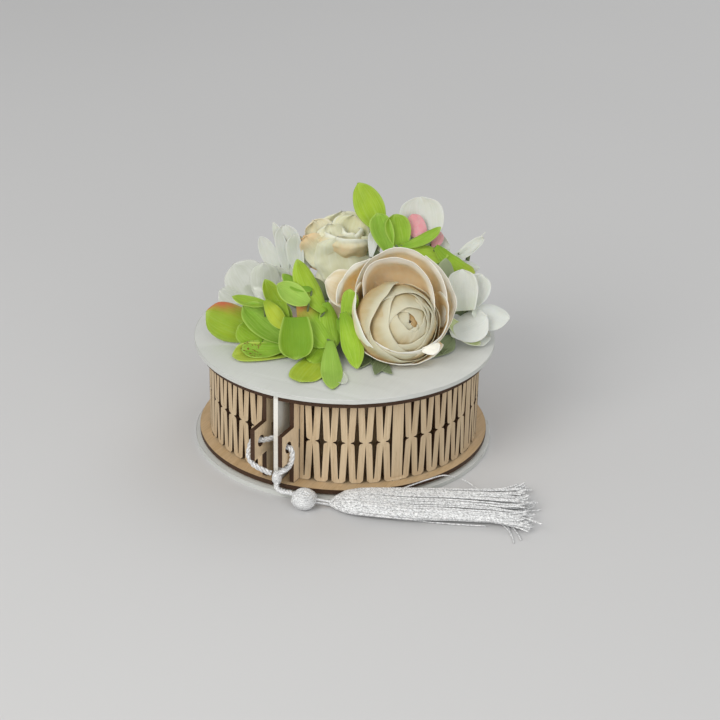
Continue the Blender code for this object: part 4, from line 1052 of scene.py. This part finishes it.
flower("white_petals_left", WHITE_SILK, (283, 252, 33), (
    ((295, 276), (284, 225), 9.6, (-0.3, 0.2), 0.55, BROAD),
    ((287, 276, -2), (273, 222, -2), 4.8, (-0.6, 0.2, 0.8), 0.4),
    ((278, 274, -3), (260, 236, -4), 6, (-0.3, 0.2), 0.3, OVAL, 0.5, 0.2),
    ((305, 278, 2), (294, 234, 1), 8, (0.1, 0.2, 1), -0.4, ROUND, 0.45),
    ((298, 288, 3), (268, 268, 1), 8, (0, 0.6, 0.8), 0.3),
    ((302, 286, 4), (289, 319, 8), 7.2, (0, 0.3), 0.4, ROUND, 0.5, 0, 0.8),
), "white_bloom_left", 9, (4, 0))

flower("clear_petals", SHEER, (248, 286, 24), (
    ((264, 308), (234, 263, 2), 15.5, (-0.2, 0.3, 0.9), -0.7, ROUND),
    ((268, 306, 2), (264, 262, 2), 10.5, (0.1, 0.2), -0.6, ROUND),
    ((262, 310, 2), (219, 290, 1), 10, (-0.2, 0.5, 0.85), -0.5, ROUND),
    ((280, 304, -4), (276, 266, -4), 9.5, (0.2, 0.2), 0.4, ROUND),
    ((300, 306, -6), (288, 272, -6), 8.5, (0.1, 0.3), 0.4, ROUND, 0.5, 0, 0.8),
), "clear_bloom", 9, (6, 0))

flower("leaves_right", LEAF, (440, 330, 5), (
    ((425, 357, 8), (454, 335, 12), 8.6, (0.1, 0.6, 0.8), -0.3, OVAL, 0.5, 0.2),
    ((440, 350), (418, 357), 4.4, (0, 0.7, 0.7), -0.3, POINTED),
    ((446, 300, -2), (446, 258, -3), 7, (0.2, 0.3, 0.9), -0.3, OVAL, 0.2, 0.9),
    ((444, 340), (443, 354, 2), 4.8, (0.2, 0.6, 0.8), 0.3, POINTED),
), "leaf_spray_right", 8)

flower("leaves_left", LEAF, (384, 352, 4), (
    ((370, 356), (392, 374), 5.4, (0, 0.8, 0.6), -0.3, POINTED),
    ((368, 352), (359, 368), 5, (0, 0.8, 0.6), -0.3, POINTED),
    ((384, 356), (375, 375), 4.6, (0, 0.8, 0.6), -0.3, POINTED),
), "leaf_spray_left", 8)


def make_stems():
    """Stems, hubs and leaves along them, and a bed of leaves in the middle of the lid."""
    bed = Bloom("stems", LEAF, (350, 330, 4))
    chance = Random(11)

    def leaf(root, out, length, lift, half, lean, arch):
        """One leaf, whose size is drawn from ranges."""
        tip = root + out * chance.uniform(*length) + UP * chance.uniform(*lift)
        tip.z = max(tip.z, LID_TOP + 0.0015)
        limit = 0.088 / max(tip.xy.length, 0.088)
        tip.x *= limit
        tip.y *= limit
        bed.petal(root, tip, chance.uniform(*half), UP - out * lean, -0.4, OVAL, chance.uniform(0, 0.8),
                  chance.uniform(-0.2, 0.3), arch=arch, stalk=False)

    for points, first, last in STEMS:
        bed.rod(points, first, last)
    away = Vector((FORWARD.x, FORWARD.y, 0)).normalized()
    for hub, base in HUBS:
        ball = bmesh.ops.create_icosphere(bed.work, subdivisions=2, radius=0.0034)
        for vert in ball["verts"]:
            vert.co = hub + vert.co * (1 + 0.12 * noise.noise(vert.co * 400))
            bed.mark(vert, 0.4, 0.2, 0.3, 0, 0, 0, 5)
        leaves = 3 + int((hub.z - base.z) * 110)
        for index in range(leaves):
            share = 0.1 + 0.62 * (index + chance.random() * 0.5) / leaves
            turn = index * 2.4 + chance.uniform(-0.3, 0.3)
            out = (away * (0.55 + cos(turn)) + Vector((-away.y, away.x, 0)) * sin(turn)).normalized()
            leaf(base.lerp(hub, share), out, (0.013, 0.019), (-0.004, 0.007), (4.2, 6.2), 0.3, -0.12)
    for index in range(16):
        turn = index * 2.4
        out = Vector((cos(turn), sin(turn), 0))
        root = Vector((-0.006, 0.012, LID_TOP + 0.004)) + out * (0.004 + 0.0016 * index)
        root.z += 0.0016 * (index % 5)
        leaf(root, out, (0.016, 0.024), (0.003, 0.016), (5.5, 7.5), 0.4, -0.1)
    bed.finish("flower_stems", "leaf_spray_middle", "leaf_spray_rear")


def make_peony():
    """Large cream bloom: an off-centre ball of wrapped petals inside cupped ones."""
    bloom = Bloom("peony", CREAM, (403, 309, 31), 26, 0.5)
    # The heart's petals wear the darker cream copy: painted shade deep inside the bloom.
    heart = Bloom("peony_heart", SHADED_HEART_CREAM, (403, 309, 31), 26, 0.6)
    ball = sight(bloom.anchor, 397, 324)
    axis = seen(0.38, 0.06, 0.92)
    for turn, half, lip, ends, reach in (
            (200, 100, 3, 10, 21.6), (30, 115, 8, 22, 22), (250, 115, 14, 30, 22.5),
            (100, 110, 21, 42, 22.9), (335, 115, 28, 52, 23.3), (190, 105, 36, 60, 23.7),
            (75, 100, 45, 70, 24.1), (300, 110, 52, 78, 24.6), (225, 100, 62, 86, 25.2),
            (350, 90, 64, 88, 25.7), (150, 58, 52, 76, 26.2)):
        heart.shell(ball, axis, turn, half, lip, ends, 125, reach, reach - 0.4, 0.6, 0.7, 0, 0.85, 0.6)
    # Innermost shell at the centre's slit, with the heart's tip colour all over: its peach darkened as painted shade.
    heart.shell(ball, axis, 20, 150, -2, 8, 60, 21, 20.4, 0.2, 0.2, -0.3, 1, 0.2, 0.8)
    for turn, lip, reach in ((300, 9, 22.3), (330, 15, 22.7), (10, 24, 23.2), (345, 33, 23.7)):
        heart.shell(ball, axis, turn, 62, lip, lip + 14, 110, reach, reach - 0.4, 0.8, 0.5, 0.1, 1, 0.5)
    middle = sight(bloom.anchor, 401, 312)
    front = seen(0.1, 0, 1)
    for angles, shape in (
            ((262, 95, 54, 84), (29.5, 29, 0.8, 0.4, 0)), ((212, 70, 62, 96), (30.8, 29.8, 1, 0.6, 0.1)),
            ((272, 52, 70, 94), (33, 31.2, 1.2, 0.5, 0.1)),
            ((332, 56, 72, 100), (28.8, 28.2, 0.8, 0.6, 0.1))):
        bloom.shell(middle, front, *angles, 128, *shape, 0.7, 0.8)
    bloom.bowl((402, 312, -22), 0.5, 0, 0.5, (368, 306, 6), (366, 293, 7), (366, 279, 8), (371, 268, 10),
        (382, 262, 12), (399, 260.5, 13), (416, 268, 13), (427, 282, 12), (432, 303, 10),
        (430, 322, 6), (420, 338, 3))
    bloom.bowl((402, 312, -24), 0.55, 0, 0.55, (357, 306, 0), (358, 290, 1), (363, 275, 1), (374, 261, 2),
        (389, 252, 3), (403, 250, 4), (420, 257, 4), (434, 270, 4), (443, 288, 3), (445, 308, 1),
        (440, 327, -1))
    bloom.bowl((404, 310, -26), 0.6, 0.1, 0.4, (424, 258, -6), (440, 272, -6), (450, 290, -6), (453, 307, -6),
        (446, 325, -6), (436, 341, -5), (420, 354, -4))
    bloom.petal((382, 304, -18), (325, 281, -8), 14, (-0.3, 0.3), 0.8, BROAD, 0.1, 0, -0.8)
    bloom.petal((386, 316, -18), (329, 300, -12), 11, (-0.3, 0.3), 0.5, BROAD, 0.1, 0, -0.8)
    bloom.bowl((384, 298, -20), 0.4, 0, 0.9, (340, 303, -2), (341, 288, -1), (349, 275, 0), (359, 266, 0),
        (372, 261, 0))
    bloom.petal((422, 350, 14), (440, 346, 22), 4, (0, 0.4, 0.9), -0.5, ROUND, 0.8, 0.8)
    bloom.foot((2, 10))
    bloom.finish("peony_outer_petals", "peony_petals")
    heart.finish("peony_inner_petals", "peony_heart")


def make_rose():
    """Crumpled ivory bloom at the rear."""
    bloom = Bloom("rose", IVORY, (338, 244, 39), 14, 1.7)
    heart = Bloom("rose_heart", IVORY, (338, 244, 39), 14, 2)
    for row in (
        ((346, 277, 8), (339, 236, 12), 21.5, (0, 0.25), -0.8, BROAD, 0.45, 0, 0, 0.12),
        ((346, 262, -6), (343, 211, -8), 18.5, (0, 0.4, 0.9), 0.6, BROAD, 0.3, 0, 0, 0.16),
        ((330, 270, 4), (304, 236, 6), 10.5, (-0.4, 0.2, 0.9), -0.6, ROUND, 0.4, 0, 1),
        ((334, 258, 2), (313, 220, 2), 11.5, (-0.2, 0.4, 0.9), -0.5, BROAD, 0.5, 0, 0.3, 0.2),
        ((354, 268, 4), (371, 237, 4), 9.5, (0.5, 0.2, 0.85), -0.5, ROUND, 0.3, 0, 0, 0.1),
        ((320, 268, -2), (299, 240, -2), 9.5, (-0.4, 0.2, 0.9), -0.4, ROUND, 0.5, 0, 2),
        ((370, 262, -2), (368, 232, -2), 9, (0.4, 0.3, 0.9), 0.3, ROUND, 0.3),
        ((344, 254, 2), (354, 215), 13.5, (0.1, 0.5, 0.85), 0.5, BROAD, 0.25, 0, 0, 0.25),
        ((338, 252, 6), (328, 224, 5), 10.5, (-0.1, 0.5, 0.85), -0.5, BROAD, 0.5, 0, 0, 0.25),
        ((336, 262, 2), (322, 292, 5), 9.5, (-0.1, 0.2), -0.4, BROAD, 0.5, 0, 0.3, 0.15),
    ):
        bloom.petal(*row)
    ball = sight(bloom.anchor, 346, 240, -4)
    axis = seen(0.1, 0.85, 0.5)
    for turn, half, lip, ends, reach in (
            (200, 120, 14, 30, 9), (30, 110, 26, 46, 11), (120, 100, 40, 62, 12.5), (260, 110, 52, 76, 14)):
        heart.shell(ball, axis, turn, half, lip, ends, 120, reach, reach - 1, 0.8, 0.4, 0, 0.5, 1.2, 0,
                    (1.3, 1.3, 0.9))
    bloom.foot((6, 4))
    bloom.finish("rose_outer_petals", "rose_petals")
    heart.finish("rose_inner_petals", "rose_heart")


make_peony()
make_rose()
flower("white_ribbon", WHITE_SILK, (374, 243, 42), (
    ((371, 257, 12), (374.5, 231, 12), 3.6, (0, 0.2), 0.2, FAN, 0.5, 1, 0, 0.02),
), "ribbon_petal", 8)
flower("clear_scrap", SHEER, (302, 334, 13), (
    ((333, 366, 2), (344, 384, 3), 5.5, (0.2, 0.7, 0.7), 0.4, OVAL, 0.5, 1),
), None, 10, (4, 4))
make_stems()


# Floor, light

FLOOR_CORNERS = [(-6, -6, 0), (6, -6, 0), (6, 9, 0), (-6, 9, 0)]
WORLD_STRENGTH = 0.56
LIGHT_SIZE = 1.2


def add_floor():
    """Plain pale floor."""
    mesh = bpy.data.meshes.new("floor")
    mesh.from_pydata(FLOOR_CORNERS, [], [(0, 1, 2, 3)])
    look = Shader("pale_floor", 0.7)
    grey = look.mix(look.noise(1.5, 2), (0.57, 0.57, 0.575), (0.61, 0.61, 0.615))
    look.put(look.main["Base Color"], grey)
    mesh.materials.append(look.material)
    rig.stage(placed("floor", mesh))


def area_light(name, place, target, power, colour=(1, 1, 1)):
    """Soft round light aimed at a point."""
    data = bpy.data.lights.new(name, "AREA")
    data.shape = "DISK"
    data.size = LIGHT_SIZE
    data.energy = power
    data.color = colour
    light = placed(name, data)
    light.location = place
    aim = Vector(target) - Vector(place)
    light.rotation_euler = aim.to_track_quat("-Z", "Y").to_euler()


def add_light():
    """Soft studio light from both sides and from behind."""
    world = bpy.data.worlds.new("studio")
    SCENE.world = world
    world.use_nodes = True
    background = world.node_tree.nodes["Background"].inputs
    background["Color"].default_value = (0.98, 0.98, 0.97, 1)
    background["Strength"].default_value = WORLD_STRENGTH
    area_light("key", (-0.35, -1.6, 1.15), (0, 0, 0.05), 20, (1, 0.985, 0.95))
    area_light("fill", (1.4, -1.1, 0.7), (0, 0, 0.05), 8, (1, 0.99, 0.97))
    area_light("back", (0.2, 1.5, 1.4), (0, 0, 0.08), 5)


add_floor()
add_light()
SCENE.view_settings.view_transform = "Standard"

visual_box = [list(corner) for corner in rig.bounds()]
with open("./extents.json", "w") as size_file:
    json.dump({"cad": cad_box, "visual": visual_box}, size_file)
